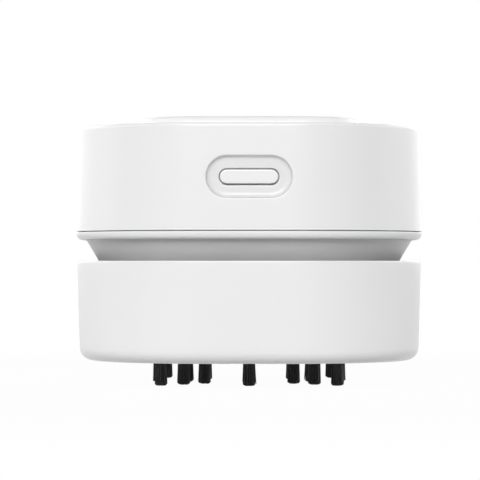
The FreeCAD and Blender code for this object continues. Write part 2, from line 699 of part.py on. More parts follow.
def make_dust_box():
    """Tapered tray: round lower edge, brush plate seat underneath, ribs for the filter inside."""
    body = new_body("dust_box")
    plan = sketch_on(body, "UndersidePlan", at="box_bottom")
    rounded_square(plan, "box_foot_half", corner_at("box_foot_half"))
    outside = pad(body, "Outside", plan, "box_height", taper="box_draft")
    outside = soften(body, "LowerEdge", outside, at_level("box_bottom"), "box_edge_round")
    room_plan = sketch_on(body, "RoomPlan", at="box_top")
    rounded_square(room_plan, "box_inner_half", corner_at("box_inner_half"))
    room = pocket(body, "Room", room_plan, "box_height - box_floor")
    rim = soften(body, "Rim", room, at_level("box_top"), "box_rim_round")
    soften(body, "InnerEdge", rim, at_level("floor_top"), "box_inner_round")
    pan_plan = sketch_on(body, "PanPlan", at="floor_top")
    rounded_square(pan_plan, "pan_half", "plate_seat_corner + pan_wall")
    pad(body, "Pan", pan_plan, "pan_top - floor_top")
    seat_plan = sketch_on(body, "PlateSeatPlan", at="plate_top")
    rounded_square(seat_plan, "plate_seat_half", "plate_seat_corner")
    pocket(body, "PlateSeat", seat_plan, "plate_thick + plate_recess + overrun")
    hole_plan = sketch_on(body, "TubeHolePlan", at="pan_top + overrun")
    circle(hole_plan, "mouth_radius + tube_wall + seat_gap")
    pocket(body, "TubeHole", hole_plan, "pan_floor + overrun + overrun")
    peg_plan = sketch_on(body, "PegHolePlan", at="pan_top + overrun")
    circle(peg_plan, "peg_radius + seat_gap", "peg_x", "peg_y")
    peg_hole = pocket(body, "PegHole", peg_plan, "pan_floor + overrun + overrun")
    ring_of(body, "PegHoles", [peg_hole], "peg_count")
    rib_plan = sketch_on(body, "RibPlan", at="floor_top")
    for side in (1, -1):
        middle = "%d*rib_spread" % side
        rectangle(rib_plan, middle + " - rib_width/2", middle + " + rib_width/2",
                  "box_inner_half - rib_depth", "box_inner_half + rib_root")
    rib = pad(body, "Rib", rib_plan, "filter_seat - floor_top")
    ring_of(body, "Ribs", [rib], "side_count")


def make_inlet_tube():
    """Tube pressed into the floor's hole, through which the dust comes up into the box."""
    body = new_body("inlet_tube")
    plan = sketch_on(body, "TubePlan", at="plate_top")
    circle(plan, "mouth_radius")
    circle(plan, "mouth_radius + tube_wall")
    tube = pad(body, "Tube", plan, "tube_top - plate_top")
    soften(body, "TubeRim", tube, at_level("tube_top"), "tube_round")


# Filter

def make_filter_frame():
    """Loose frame with crossed bars that carries the folded sheet."""
    body = new_body("filter_frame")
    plan = sketch_on(body, "FramePlan", at="frame_bottom")
    rounded_square(plan, "frame_half", corner_at("frame_half"))
    block = pad(body, "Block", plan, "frame_height")
    soften(body, "UpperEdge", block, at_level("frame_top"), "frame_round")
    opening_plan = sketch_on(body, "OpeningPlan", at="frame_top + overrun")
    rounded_square(opening_plan, "frame_opening", corner_at("frame_opening"))
    pocket(body, "Opening", opening_plan, "frame_height + overrun + overrun")
    reach = "frame_opening + frame_rim/2"
    along_plan = sketch_on(body, "BarAlongPlan", at="frame_bottom")
    rectangle(along_plan, "-(%s)" % reach, reach, "-bar_width/2", "bar_width/2")
    pad(body, "BarAlong", along_plan, "bar_height")
    across_plan = sketch_on(body, "BarAcrossPlan", at="frame_bottom")
    rectangle(across_plan, "-bar_width/2", "bar_width/2", "-(%s)" % reach, reach)
    pad(body, "BarAcross", across_plan, "bar_height")


def make_filter_sheet():
    """Folded sheet: one zigzag strip drawn from the front, cut to the frame's opening."""
    body = new_body("filter_sheet")
    half = "(frame_opening - seat_gap)"
    folds = 2 * math.floor(number_of(half) / number_of("pleat_pitch"))
    lower = []
    upper = []
    for fold in range(-folds, folds + 1):
        x = "%d*pleat_pitch/2" % fold
        rise = "pleat_bottom + pleat_height" if fold % 2 else "pleat_bottom"
        lower.append((x, rise))
        upper.append((x, rise + " + sheet_thick"))
    profile = sketch_on(body, "FoldProfile", "XZ_Plane")
    outline(profile, lower + upper[::-1])
    pad(body, "Folds", profile, "2*" + half, both=True)
    trim_plan = sketch_on(body, "TrimPlan", at="frame_top + overrun")
    rounded_square(trim_plan, "frame_opening - seat_gap", corner_at("frame_opening - seat_gap"))
    rectangle(trim_plan, "-body_half", "body_half", "-body_half", "body_half")
    pocket(body, "Trim", trim_plan, "frame_height + overrun + overrun")


# Neck, sealing ring and inlet plate

def make_exhaust_neck():
    """Sloping neck over a spigot: fan chamber, exhaust slots at the foot, shelf for the motor deck."""
    body = new_body("exhaust_neck")
    cone_plan = sketch_on(body, "ConePlan", at="neck_foot")
    rounded_square(cone_plan, "neck_foot_half", corner_at("neck_foot_half"))
    pad(body, "Cone", cone_plan, "bezel_bottom - neck_foot", taper="neck_slope")
    flange_plan = sketch_on(body, "FlangePlan", at="bezel_bottom")
    rounded_square(flange_plan, "flange_half", corner_at("flange_half"))
    flange = pad(body, "Flange", flange_plan, "flange_height")
    inside = every(at_level("bezel_bottom"), within("(neck_half + flange_half)/2"),
                   lambda spot: near_outline(spot, "neck_half"))
    soften(body, "Cove", flange, inside, "neck_cove")
    spigot_plan = sketch_on(body, "SpigotPlan", at="neck_foot")
    rounded_square(spigot_plan, "spigot_half", corner_at("spigot_half"))
    pad(body, "Spigot", spigot_plan, "spigot_depth", down=True)
    socket_plan = sketch_on(body, "InletSeatPlan", at="foot_deck_bottom")
    rounded_square(socket_plan, "spigot_inner", corner_at("spigot_inner"))
    pocket(body, "InletSeat", socket_plan, "spigot_depth")
    chamber_plan = sketch_on(body, "ChamberPlan", at="foot_deck_bottom")
    rounded_square(chamber_plan, "chamber_foot_half", corner_at("chamber_foot_half"))
    pocket(body, "Chamber", chamber_plan, "shelf_bottom - foot_deck_bottom", taper="neck_slope",
           forward=True)
    opening_plan = sketch_on(body, "FanOpeningPlan", at="deck_bottom + overrun")
    circle(opening_plan, "fan_opening_radius")
    pocket(body, "FanOpening", opening_plan, "shelf_thick + overrun + overrun")
    deck_plan = sketch_on(body, "DeckSeatPlan", at="deck_top")
    rounded_square(deck_plan, "deck_seat_half", corner_at("deck_seat_half"))
    pocket(body, "DeckSeat", deck_plan, "deck_thick")
    groove_plan = sketch_on(body, "SealGroovePlan", at="seal_bottom")
    rounded_square(groove_plan, "spigot_half + overrun", corner_at("spigot_half + overrun"))
    rounded_square(groove_plan, "seal_inner", corner_at("seal_inner"))
    pocket(body, "SealGroove", groove_plan, "seal_height", forward=True)
    hole_plan = sketch_on(body, "ScrewHolePlan", at="deck_bottom + overrun")
    for right, back in CORNERS:
        circle(hole_plan, "screw_hole_radius", "%d*screw_place" % right, "%d*screw_place" % back)
    pocket(body, "ScrewHoles", hole_plan, "shelf_thick + overrun + overrun")
    for name, role in (("FrontSlot", "XZ_Plane"), ("SideSlot", "YZ_Plane")):
        slot_plan = sketch_on(body, name + "Plan", role)
        low = "neck_foot + slot_rise"
        count = int(number_of("slot_count"))
        for slot in range(count):
            middle = "(%d)*slot_pitch/2" % (2 * slot - count + 1)
            rectangle(slot_plan, middle + " - slot_width/2", middle + " + slot_width/2",
                      low, low + " + slot_height")
        pocket(body, name + "s", slot_plan, "body_width", both=True)


def near_outline(spot, half):
    """Whether a point lies on the casing's plan, drawn in to a half width."""
    reach = number_of(half)
    radius = number_of(corner_at(half))
    flat = reach - radius
    x = max(abs(spot.x) - flat, 0.0)
    y = max(abs(spot.y) - flat, 0.0)
    return abs(math.hypot(x, y) - radius) < number_of("seat_gap")


def make_box_seal():
    """Soft ring in the spigot's groove, close to the box wall."""
    body = new_body("box_seal")
    plan = sketch_on(body, "SealPlan", at="seal_bottom")
    rounded_square(plan, "seal_outer", corner_at("seal_outer"))
    rounded_square(plan, "seal_inner", corner_at("seal_inner"))
    ring = pad(body, "SealRing", plan, "seal_height")
    outer = every(beyond("seal_outer"), lambda spot: near_outline(spot, "seal_outer"))
    soften(body, "SealLip", ring, outer, "seal_lip", "Chamfer")


def make_inlet_plate():
    """Plate under the fan with a round eye."""
    body = new_body("fan_inlet_plate")
    plan = sketch_on(body, "InletPlan", at="inlet_plate_bottom")
    rounded_square(plan, "spigot_inner - seat_gap", corner_at("spigot_inner - seat_gap"))
    circle(plan, "eye_radius")
    plate = pad(body, "InletPlate", plan, "inlet_plate_thick")
    eye = every(at_level("inlet_plate_bottom", "foot_deck_bottom"), within("eye_radius"))
    soften(body, "EyeRound", plate, eye, "eye_round")


# Fan and motor

def make_impeller():
    """Radial fan: hub with a hollow flare, back plate and curved blades that hang below it."""
    body = new_body("impeller")
    plan = sketch_on(body, "BackPlatePlan", at="blade_top")
    circle(plan, "fan_radius")
    pad(body, "BackPlate", plan, "fan_plate_thick")
    hub_plan = sketch_on(body, "HubPlan", at="fan_bottom")
    circle(hub_plan, "fan_hub_radius")
    hub = pad(body, "Hub", hub_plan, "fan_hub_top - fan_bottom")
    root = every(at_level("blade_top"), within("fan_hub_radius"))
    soften(body, "HubFlare", hub, root, "fan_hub_flare")
    blade_plan = sketch_on(body, "BladePlan", at="fan_bottom")
    blade_outline(blade_plan)
    blade = pad(body, "Blade", blade_plan, "blade_height + fan_plate_thick/2")
    ring_of(body, "Blades", [blade], "blade_count")
    bore_plan = sketch_on(body, "ShaftBorePlan", at="fan_hub_top")
    circle(bore_plan, "shaft_radius + seat_gap/2")
    pocket(body, "ShaftBore", bore_plan, "fan_hub_top - fan_bottom - fan_plate_thick")


def blade_outline(sketch):
    """One blade: an arc of even thickness from the eye's circle to the outside."""
    ends = (("fan_eye_radius", "0"), ("fan_eye_radius + blade_run_x", "blade_run_y"))
    middle = (number_of("blade_middle_x"), number_of("blade_middle_y"))
    root_turn, tip_turn = [math.degrees(math.atan2(number_of(y) - middle[1], number_of(x) - middle[0]))
                           for x, y in ends]

    def corner(end, sign):
        """A corner of the blade, half its thickness inside or outside one end of the arc."""
        return ["%s %s (%s - blade_middle_%s)*blade_edge_share" % (place, sign, place, axis)
                for place, axis in zip(end, "xy")]

    arcs = [add_arc(sketch, middle, number_of("blade_bend %s blade_thick/2" % sign), tip_turn, root_turn)
            for sign in "-+"]
    for place, end in ((2, ends[0]), (1, ends[1])):
        inside, outside = corner(end, "-"), corner(end, "+")
        line = add_line(sketch, [number_of(text) for text in inside], [number_of(text) for text in outside])
        fix_point(sketch, line, 1, *inside)
        fix_point(sketch, line, 2, *outside)
        hold(sketch, "Coincident", arcs[0], place, line, 1)
        hold(sketch, "Coincident", arcs[1], place, line, 2)
    tie(sketch, "Radius", arcs[0], "blade_bend - blade_thick/2")
    tie(sketch, "Radius", arcs[1], "blade_bend + blade_thick/2")


def make_motor_shaft():
    """Plain shaft with broken ends, from the fan's bore to the rear bush."""
    body = new_body("motor_shaft")
    plan = sketch_on(body, "ShaftPlan", at="shaft_bottom")
    circle(plan, "shaft_radius")
    shaft = pad(body, "Shaft", plan, "shaft_top - shaft_bottom")
    soften(body, "ShaftEnds", shaft, at_level("shaft_bottom", "shaft_top"), "shaft_chamfer", "Chamfer")


def make_motor_can():
    """Drawn can with round edges and a boss, bored for the shaft and tapped for two screws."""
    body = new_body("motor_can")
    profile = sketch_on(body, "CanProfile", "XZ_Plane")
    outline(profile, [("shaft_radius + running_gap", "deck_top - motor_boss_height"),
                      ("motor_boss_radius", "deck_top - motor_boss_height"),
                      ("motor_boss_radius", "deck_top"),
                      ("motor_radius", "deck_top"),
                      ("motor_radius", "can_top"),
                      ("shaft_radius + running_gap", "can_top")])
    can = revolve(body, "Can", profile)
    edge = every(at_level("deck_top"), beyond("motor_radius"))
    soften(body, "CanEdge", can, edge, "can_round")
    hole_plan = sketch_on(body, "TappedHolePlan", at="deck_top")
    for side in (1, -1):
        circle(hole_plan, "motor_screw_radius", "%d*motor_screw_place" % side)
    pocket(body, "TappedHoles", hole_plan, "motor_screw_grip + seat_gap", forward=True)


def make_motor_end_cap():
    """Plastic cap with the rear bush and two notches for the terminals."""
    body = new_body("motor_end_cap")
    profile = sketch_on(body, "EndCapProfile", "XZ_Plane")
    outline(profile, [("shaft_radius + running_gap", "can_top"),
                      ("motor_radius - end_cap_step", "can_top"),
                      ("motor_radius - end_cap_step", "end_cap_top"),
                      ("end_boss_radius", "end_cap_top"),
                      ("end_boss_radius", "end_boss_top"),
                      ("shaft_radius + running_gap", "end_boss_top")])
    revolve(body, "EndCap", profile)
    notch_plan = sketch_on(body, "NotchPlan", "YZ_Plane")
    rectangle(notch_plan, "-tab_width/2 - seat_gap", "tab_width/2 + seat_gap",
              "end_cap_top - tab_thick - seat_gap", "end_cap_top + overrun")
    pocket(body, "Notches", notch_plan, "2*(motor_radius + overrun)", both=True)
    core_plan = sketch_on(body, "CapCorePlan", at="end_cap_top")
    circle(core_plan, "motor_radius - end_cap_step - tab_reach + seat_gap")
    pad(body, "CapCore", core_plan, "tab_thick + seat_gap", down=True)
    bore_plan = sketch_on(body, "BushBorePlan", at="end_boss_top + overrun")
    circle(bore_plan, "shaft_radius + running_gap")
    pocket(body, "BushBore", bore_plan, "end_boss_top - can_top + overrun + overrun")


def make_motor_terminals():
    """Two flat tabs in the end cap's notches."""
    body = new_body("motor_terminals")
    body.AllowCompound = True
    plan = sketch_on(body, "TabPlan", at="end_cap_top - tab_thick")
    inner = "motor_radius - end_cap_step - tab_reach + seat_gap + seat_gap"
    outer = "motor_radius + tab_reach/2"
    rectangle(plan, inner, outer, "-tab_width/2", "tab_width/2")
    tab = pad(body, "Tab", plan, "tab_thick")
    mirror_of(body, "Tabs", [tab], "YZ_Plane")


def make_motor_damper():
    """Rubber ring pressed between the end cap and the roof."""
    body = new_body("motor_damper")
    plan = sketch_on(body, "DamperPlan", at="end_cap_top")
    inner = "end_boss_radius + seat_gap"
    circle(plan, inner)
    circle(plan, inner + " + damper_width")
    pad(body, "Damper", plan, "roof_bottom - end_cap_top")


def make_motor_deck():
    """Deck with the motor's cup, gussets, posts for the boards and holes for every screw."""
    body = new_body("motor_deck")
    plan = sketch_on(body, "DeckPlan", at="deck_bottom")
    rounded_square(plan, "deck_half", corner_at("deck_half"))
    pad(body, "Deck", plan, "deck_thick")
    cup_plan = sketch_on(body, "CupPlan", at="deck_top")
    circle(cup_plan, "cup_outer")
    pad(body, "Cup", cup_plan, "cup_height")
    gusset_plan = sketch_on(body, "GussetProfile", "XZ_Plane")
    outline(gusset_plan, [("cup_radius + cup_wall/2", "deck_top - deck_thick/2"),
                          ("cup_outer + gusset_reach", "deck_top - deck_thick/2"),
                          ("cup_outer + gusset_reach", "deck_top + gusset_thick"),
                          ("cup_outer", "deck_top + cup_height - gusset_thick"),
                          ("cup_radius + cup_wall/2", "deck_top + cup_height - gusset_thick")])
    gusset = pad(body, "Gusset", gusset_plan, "gusset_thick", both=True)
    pattern = ring_of(body, "Gussets", [gusset], "gusset_count", angle=180.0)
    pattern.Reversed = True
    finished(pattern)
    post_plan = sketch_on(body, "BoardPostPlan", at="deck_top")
    low = "-(board_front + board_back)/2 - post_width/2"
    for side in (1, -1):
        middle = "%d*board_width/2" % side
        rectangle(post_plan, middle + " - post_width/2", middle + " + post_width/2",
                  low, low + " + post_width")
    pad(body, "BoardPosts", post_plan, "post_height")
    charge_plan = sketch_on(body, "ChargePostPlan", at="deck_top")
    for side in (1, -1):
        circle(charge_plan, "charge_post_radius", "%d*charge_post_place" % side, "charge_post_depth")
    pad(body, "ChargePosts", charge_plan, "charge_board_rise")
    bore_plan = sketch_on(body, "CupBorePlan", at="deck_top + cup_height")
    circle(bore_plan, "cup_radius")
    pocket(body, "CupBore", bore_plan, "cup_height")
    boss_plan = sketch_on(body, "MotorBossPlan", at="deck_top + overrun")
    circle(boss_plan, "motor_boss_radius + seat_gap")
    for side in (1, -1):
        circle(boss_plan, "motor_screw_radius + seat_gap", "%d*motor_screw_place" % side)
    pocket(body, "MotorHoles", boss_plan, "deck_thick + overrun + overrun")
    rail_plan = sketch_on(body, "BoardRailPlan", at="deck_top + post_height")
    rectangle(rail_plan, "-board_width/2 - seat_gap", "board_width/2 + seat_gap",
              "-board_front - seat_gap", "-board_back + seat_gap")
    pocket(body, "BoardRail", rail_plan, "post_height")
    pilot_plan = sketch_on(body, "ChargePilotPlan", at="charge_board_bottom")
    for side in (1, -1):
        circle(pilot_plan, "charge_screw_radius", "%d*charge_post_place" % side, "charge_post_depth")
    pocket(body, "ChargePilots", pilot_plan, "charge_screw_grip + seat_gap")
    hole_plan = sketch_on(body, "DeckScrewHolePlan", at="deck_top + overrun")
    for right, back in CORNERS:
        circle(hole_plan, "screw_hole_radius", "%d*screw_place" % right, "%d*screw_place" % back)
    pocket(body, "DeckScrewHoles", hole_plan, "deck_thick + overrun + overrun")


# Screws

def cross_recess(body, at, places, forward):
    """Cut a cross into each screw head at the given places."""
    plan = sketch_on(body, "CrossPlan", at=at)
    for x, y in places:
        rectangle_cross(plan, x, y)
    pocket(body, "Cross", plan, "cross_depth", forward=forward)


def rectangle_cross(sketch, x, y):
    """A plus sign about a place, as one outline."""
    thin = "cross_width/2"
    long = "cross_reach"
    corners = [(thin, thin), (thin, long), ("-" + thin, long), ("-" + thin, thin),
               ("-" + long, thin), ("-" + long, "-" + thin), ("-" + thin, "-" + thin),
               ("-" + thin, "-" + long), (thin, "-" + long), (thin, "-" + thin),
               (long, "-" + thin), (long, thin)]
    outline(sketch, [("(%s) + %s" % (x, dx), "(%s) + %s" % (y, dy)) for dx, dy in corners])


def make_screws(label, places, head, head_height, shank, seat, length, upward=True):
    """Pan head screws: heads under the seat and shanks upwards, or the other way round."""
    body = new_body(label)
    body.AllowCompound = True
    head_plan = sketch_on(body, "HeadPlan", at=seat)
    shank_plan = sketch_on(body, "ShankPlan", at=seat)
    for x, y in places:
        circle(head_plan, head, x, y)
        circle(shank_plan, shank, x, y)
    top = pad(body, "Heads", head_plan, head_height, down=upward)
    face = "%s %s %s" % (seat, "-" if upward else "+", head_height)
    soften(body, "HeadRound", top, at_level(face), "%s*head_round_share" % head_height)
    pad(body, "Shanks", shank_plan, length, down=not upward)
    return body, face


def make_all_screws():
    """Screws that close the casing, hold the motor and hold the charging board."""
    corners = [("%d*screw_place" % right, "%d*screw_place" % back) for right, back in CORNERS]
    body, face = make_screws("casing_screws", corners, "screw_head_radius", "screw_head_height",
                             "screw_radius", "shelf_bottom", "screw_length")
    cross_recess(body, face, corners, True)
    sides = [("%d*motor_screw_place" % side, "0") for side in (1, -1)]
    make_screws("motor_screws", sides, "motor_screw_head", "motor_screw_head_height",
                "motor_screw_radius", "deck_bottom", "deck_thick + motor_screw_grip")
    posts = [("%d*charge_post_place" % side, "charge_post_depth") for side in (1, -1)]
    make_screws("board_screws", posts, "charge_screw_head", "charge_screw_head_height",
                "charge_screw_radius", "charge_board_top", "board_thick + charge_screw_grip",
                upward=False)


# Bezel and upper shell

def make_base_ring():
    """Bezel ring: round lower edge, ledge over the neck's flange and a lip inside the shell."""
    body = new_body("base_ring")
    plan = sketch_on(body, "BezelPlan", at="bezel_bottom")
    rounded_square(plan, "body_half", corner_at("body_half"))
    bezel = pad(body, "Bezel", plan, "bezel_height")
    soften(body, "BezelEdge", bezel, at_level("bezel_bottom"), "bezel_round")
    lip_plan = sketch_on(body, "LipPlan", at="bezel_top")
    rounded_square(lip_plan, "lip_half", corner_at("lip_half"))
    pad(body, "Lip", lip_plan, "lip_height")
    ledge_plan = sketch_on(body, "LedgePlan", at="bezel_top + lip_height + overrun")
    rounded_square(ledge_plan, "ledge_half", corner_at("ledge_half"))
    pocket(body, "Inside", ledge_plan, "bezel_height + lip_height + overrun + overrun")
    flange_plan = sketch_on(body, "FlangeSeatPlan", at="bezel_top - bezel_ledge")
    rounded_square(flange_plan, "ring_opening", corner_at("ring_opening"))
    pocket(body, "FlangeSeat", flange_plan, "bezel_height - bezel_ledge + overrun")


def make_upper_shell():
    """Tapered hood: cap recess in the roof, button recess in front, port behind, four screw bosses."""
    body = new_body("upper_shell")
    plan = sketch_on(body, "HoodPlan", at="shell_bottom")
    rounded_square(plan, "body_half", corner_at("body_half"))
    hood = pad(body, "Hood", plan, "shell_height", taper="-shell_draft")
    soften(body, "Shoulder", hood, at_level("shoulder"), "shoulder_round")
    room_plan = sketch_on(body, "HoodRoomPlan", at="shell_bottom")
    rounded_square(room_plan, "shell_inner", corner_at("shell_inner"))
    pocket(body, "HoodRoom", room_plan, "shell_height - shell_roof", taper="-shell_draft", forward=True)
    seat_plan = sketch_on(body, "CapSeatPlan", at="shoulder")
    rounded_square(seat_plan, "cap_half + cap_gap", "cap_corner + cap_gap")
    pocket(body, "CapSeat", seat_plan, "cap_seat")
    peg_plan = sketch_on(body, "CapPegHolePlan", at="cap_bottom + overrun")
    boss_plan = sketch_on(body, "ScrewBossPlan", at="deck_top")
    pilot_plan = sketch_on(body, "PilotPlan", at="deck_top")
    for right, back in CORNERS:
        circle(peg_plan, "cap_peg_radius + seat_gap", "%d*cap_peg_place" % right,
               "%d*cap_peg_place" % back)
        circle(boss_plan, "screw_boss_radius", "%d*screw_place" % right, "%d*screw_place" % back)
        circle(pilot_plan, "screw_radius", "%d*screw_place" % right, "%d*screw_place" % back)
    pocket(body, "CapPegHoles", peg_plan, "cap_bottom - roof_bottom + overrun + overrun")
    pad(body, "ScrewBosses", boss_plan, "roof_bottom + screw_boss_root - deck_top")
    pilot_depth = "screw_length - (deck_top - shelf_bottom) + screw_boss_spare"
    pocket(body, "Pilots", pilot_plan, pilot_depth, forward=True)
    panel_plan = sketch_on(body, "PanelPlan", "XZ_Plane", at="panel_back")
    pill(panel_plan, "recess_width + 2*panel_margin", "recess_height + 2*panel_margin", "button_level")
    pad(body, "Panel", panel_plan, "panel_thick")
    recess_plan = sketch_on(body, "RecessPlan", "XZ_Plane", at="recess_floor")
    pill(recess_plan, "recess_width", "recess_height", "button_level")
    recess = pocket(body, "Recess", recess_plan, "recess_depth + overrun", forward=True)
    rim = every(in_recess, in_front_of("recess_floor + recess_depth/2"))
    recess = soften(body, "RecessEdge", recess, rim, "recess_round")
    floor = every(in_recess, at_depth("recess_floor"))
    soften(body, "RecessFloorEdge", recess, floor, "recess_floor_round")
    slot_plan = sketch_on(body, "ButtonSlotPlan", "XZ_Plane", at="recess_floor + overrun")
    pill(slot_plan, "button_width + 2*button_gap", "button_height + 2*button_gap", "button_level")
    pocket(body, "ButtonSlot", slot_plan, "panel_thick + overrun + overrun")
    port_plan = sketch_on(body, "PortPlan", "XZ_Plane", at="-(back_face + overrun)")
    pill(port_plan, "port_width + 2*port_gap", "port_height + 2*port_gap", "port_level")
    pocket(body, "PortHole", port_plan, "shell_wall + overrun + overrun", forward=True)


def in_recess(spot):
    """Whether a point lies within the recess's outline, seen from the front."""
    across = abs(spot.x) < number_of("recess_width/2") + TOUCH
    return across and abs(spot.z - number_of("button_level")) < number_of("recess_height/2 + overrun")


def make_top_cap():
    """Low rounded cap with a soft edge and four pegs."""
    body = new_body("top_cap")
    plan = sketch_on(body, "CapPlan", at="cap_bottom")
    rounded_square(plan, "cap_half", "cap_corner")
    cap = pad(body, "Cap", plan, "cap_top - cap_bottom")
    soften(body, "CapEdge", cap, at_level("cap_top"), "cap_round")
    peg_plan = sketch_on(body, "CapPegPlan", at="cap_bottom")
    for right, back in CORNERS:
        circle(peg_plan, "cap_peg_radius", "%d*cap_peg_place" % right, "%d*cap_peg_place" % back)
    pad(body, "CapPegs", peg_plan, "cap_bottom - roof_bottom", down=True)


# Button and switch

def make_power_button():
    """Pill-shaped key with a collar behind the panel."""
    body = new_body("power_button")
    plan = sketch_on(body, "KeyPlan", "XZ_Plane", at="collar_front")
    pill(plan, "button_width", "button_height", "button_level")
    key = pad(body, "Key", plan, "button_face - collar_front")
    soften(body, "KeyEdge", key, at_depth("button_face"), "button_face_round")
    collar_plan = sketch_on(body, "CollarPlan", "XZ_Plane", at="collar_back")
    pill(collar_plan, "button_width + 2*button_flange_margin",
         "button_height + 2*button_flange_margin", "button_level")
    pad(body, "Collar", collar_plan, "button_flange_thick")


def make_switch():
    """Square switch with a round plunger that the button's collar pushes."""
    body = new_body("switch_body")
    plan = sketch_on(body, "SwitchPlan", "XZ_Plane", at="board_front")
    rectangle(plan, "-switch_width/2", "switch_width/2",
              "button_level - switch_width/2", "button_level + switch_width/2")
    pad(body, "SwitchBlock", plan, "switch_depth")
    bore_plan = sketch_on(body, "PlungerBorePlan", "XZ_Plane", at="switch_front")
    circle(bore_plan, "plunger_radius + plunger_gap", "0", "button_level")
    pocket(body, "PlungerBore", bore_plan, "switch_front - plunger_room")
    plunger = new_body("switch_plunger")
    stem_plan = sketch_on(plunger, "StemPlan", "XZ_Plane", at="plunger_back")
    circle(stem_plan, "plunger_radius", "0", "button_level")
    pad(plunger, "Stem", stem_plan, "collar_back - plunger_back")


def make_control_board():
    """Upright board behind the button, with the controller chip on its back."""
    body = new_body("control_board")
    plan = sketch_on(body, "BoardPlan", "XZ_Plane", at="board_back")
    rectangle(plan, "-board_width/2", "board_width/2", "deck_top", "roof_bottom - board_head_room")
    pad(body, "Board", plan, "board_thick")
    chip = new_body("controller_chip")
    chip_plan = sketch_on(chip, "ChipPlan", "XZ_Plane", at="board_back")
    rectangle(chip_plan, "-chip_width/2", "chip_width/2",
              "button_level - chip_width/2", "button_level + chip_width/2")
    pad(chip, "Chip", chip_plan, "chip_thick", down=True)


# Cell and charging socket

def make_cell():
    """Flat cell standing on edge, with a taped circuit on top."""
    body = new_body("battery_cell")
    plan = sketch_on(body, "CellPlan", at="cell_bottom")
    rectangle(plan, "-cell_length/2", "cell_length/2", "cell_front", "cell_back")
    block = pad(body, "Cell", plan, "cell_top - cell_head_height - cell_bottom")
    upright = edges_where(block, lambda spot: True)
    level = edges_where(block, at_level("cell_bottom", "cell_top - cell_head_height"))
    rounds = body.newObject("PartDesign::Fillet", "CellEdges")
    rounds.Base = (block, [name for name in upright if name not in level])
    bind(rounds, "Radius", "cell_edge")
    finished(rounds)
    head_plan = sketch_on(body, "CellHeadPlan", at="cell_top - cell_head_height")
    rectangle(head_plan, "cell_head_inset - cell_length/2", "cell_length/2 - cell_head_inset",
              "cell_front + cell_head_inset", "cell_back - cell_head_inset")
    pad(body, "CellHead", head_plan, "cell_head_height")


def make_cradle():
    """Low tray round the foot of the cell, with its long walls open in the middle."""
    body = new_body("battery_cradle")
    side = "cradle_wall + seat_gap"
    plan = sketch_on(body, "CradlePlan", at="deck_top")
    rectangle(plan, "-cell_length/2 - %s" % side, "cell_length/2 + %s" % side,
              "cell_front - %s" % side, "cell_back + %s" % side)
    pad(body, "CradleBlock", plan, "cradle_floor + cradle_height")
    room_plan = sketch_on(body, "CradleRoomPlan", at="cell_bottom + cradle_height")
    rectangle(room_plan, "-cell_length/2 - seat_gap", "cell_length/2 + seat_gap",
              "cell_front - seat_gap", "cell_back + seat_gap")
    pocket(body, "CradleRoom", room_plan, "cradle_height")
    notch_plan = sketch_on(body, "CradleNotchPlan", "XZ_Plane", at="-(cell_back + %s)" % side)
    rectangle(notch_plan, "-cradle_notch/2", "cradle_notch/2",
              "cell_bottom", "cell_bottom + cradle_height + overrun")
    pocket(body, "CradleNotch", notch_plan, "cell_thick + 2*(%s)" % side, forward=True)


def make_charge_port():
    """Charging board on two posts, with the socket's shell and contact tongue on it."""
    board = new_body("charge_board")
    plan = sketch_on(board, "ChargeBoardPlan", at="charge_board_bottom")
    rectangle(plan, "-charge_board_width/2", "charge_board_width/2",
              "charge_board_front", "charge_board_back")
    for side in (1, -1):
        circle(plan, "charge_screw_radius + seat_gap", "%d*charge_post_place" % side,
               "charge_post_depth")
    pad(board, "ChargeBoard", plan, "board_thick")
    port = new_body("usb_socket")
    shell_plan = sketch_on(port, "PortShellPlan", "XZ_Plane", at="-port_mouth")
    pill(shell_plan, "port_width", "port_height", "port_level")
    pad(port, "PortShell", shell_plan, "port_depth")
    hollow_plan = sketch_on(port, "PortHollowPlan", "XZ_Plane", at="-port_mouth")
    pill(hollow_plan, "port_width - 2*port_sheet", "port_height - 2*port_sheet", "port_level")
    pocket(port, "PortHollow", hollow_plan, "port_hollow", forward=True)
    tongue_plan = sketch_on(port, "TonguePlan", "XZ_Plane", at="port_hollow - port_mouth")
    rectangle(tongue_plan, "-tongue_width/2", "tongue_width/2",
              "port_level - tongue_thick/2", "port_level + tongue_thick/2")
    pad(port, "Tongue", tongue_plan, "tongue_length", down=True)


def check_and_write():
    """Stop at the first object or shape that failed, then write one file for each sub-part."""
    doc.recompute()
    for item in doc.Objects:
        if "Invalid" in item.State or "Error" in item.State:
            raise RuntimeError("%s failed: %s" % (item.Label, item.State))
    for body in PARTS:
        if body.Shape.isNull() or not body.Shape.isValid() or body.Shape.Volume <= 0:
            raise RuntimeError("%s has no valid shape" % body.Label)
    os.makedirs("parts", exist_ok=True)
    for body in PARTS:
        body.Shape.exportStep("parts/%s.step" % body.Label)
        print(body.Label, len(body.Shape.Solids), "solid", round(body.Shape.Volume, 2), "mm3")


make_brush_plate()
make_tufts("inner_tufts", "inner_ring_radius", "0", "ring_tuft_count")
make_tufts("outer_tufts", "outer_ring_radius", "0", "ring_tuft_count")
make_tufts("corner_tufts", "corner_tuft_place", "corner_tuft_place", "corner_tuft_count")
make_dust_box()
make_inlet_tube()
make_filter_frame()
make_filter_sheet()
make_exhaust_neck()
make_box_seal()
make_inlet_plate()
make_impeller()
make_motor_shaft()
make_motor_can()
make_motor_end_cap()
make_motor_terminals()
make_motor_damper()
make_motor_deck()
make_all_screws()
make_base_ring()
make_upper_shell()
make_top_cap()
make_power_button()
make_switch()
make_control_board()
make_cell()
make_cradle()
make_charge_port()
check_and_write()
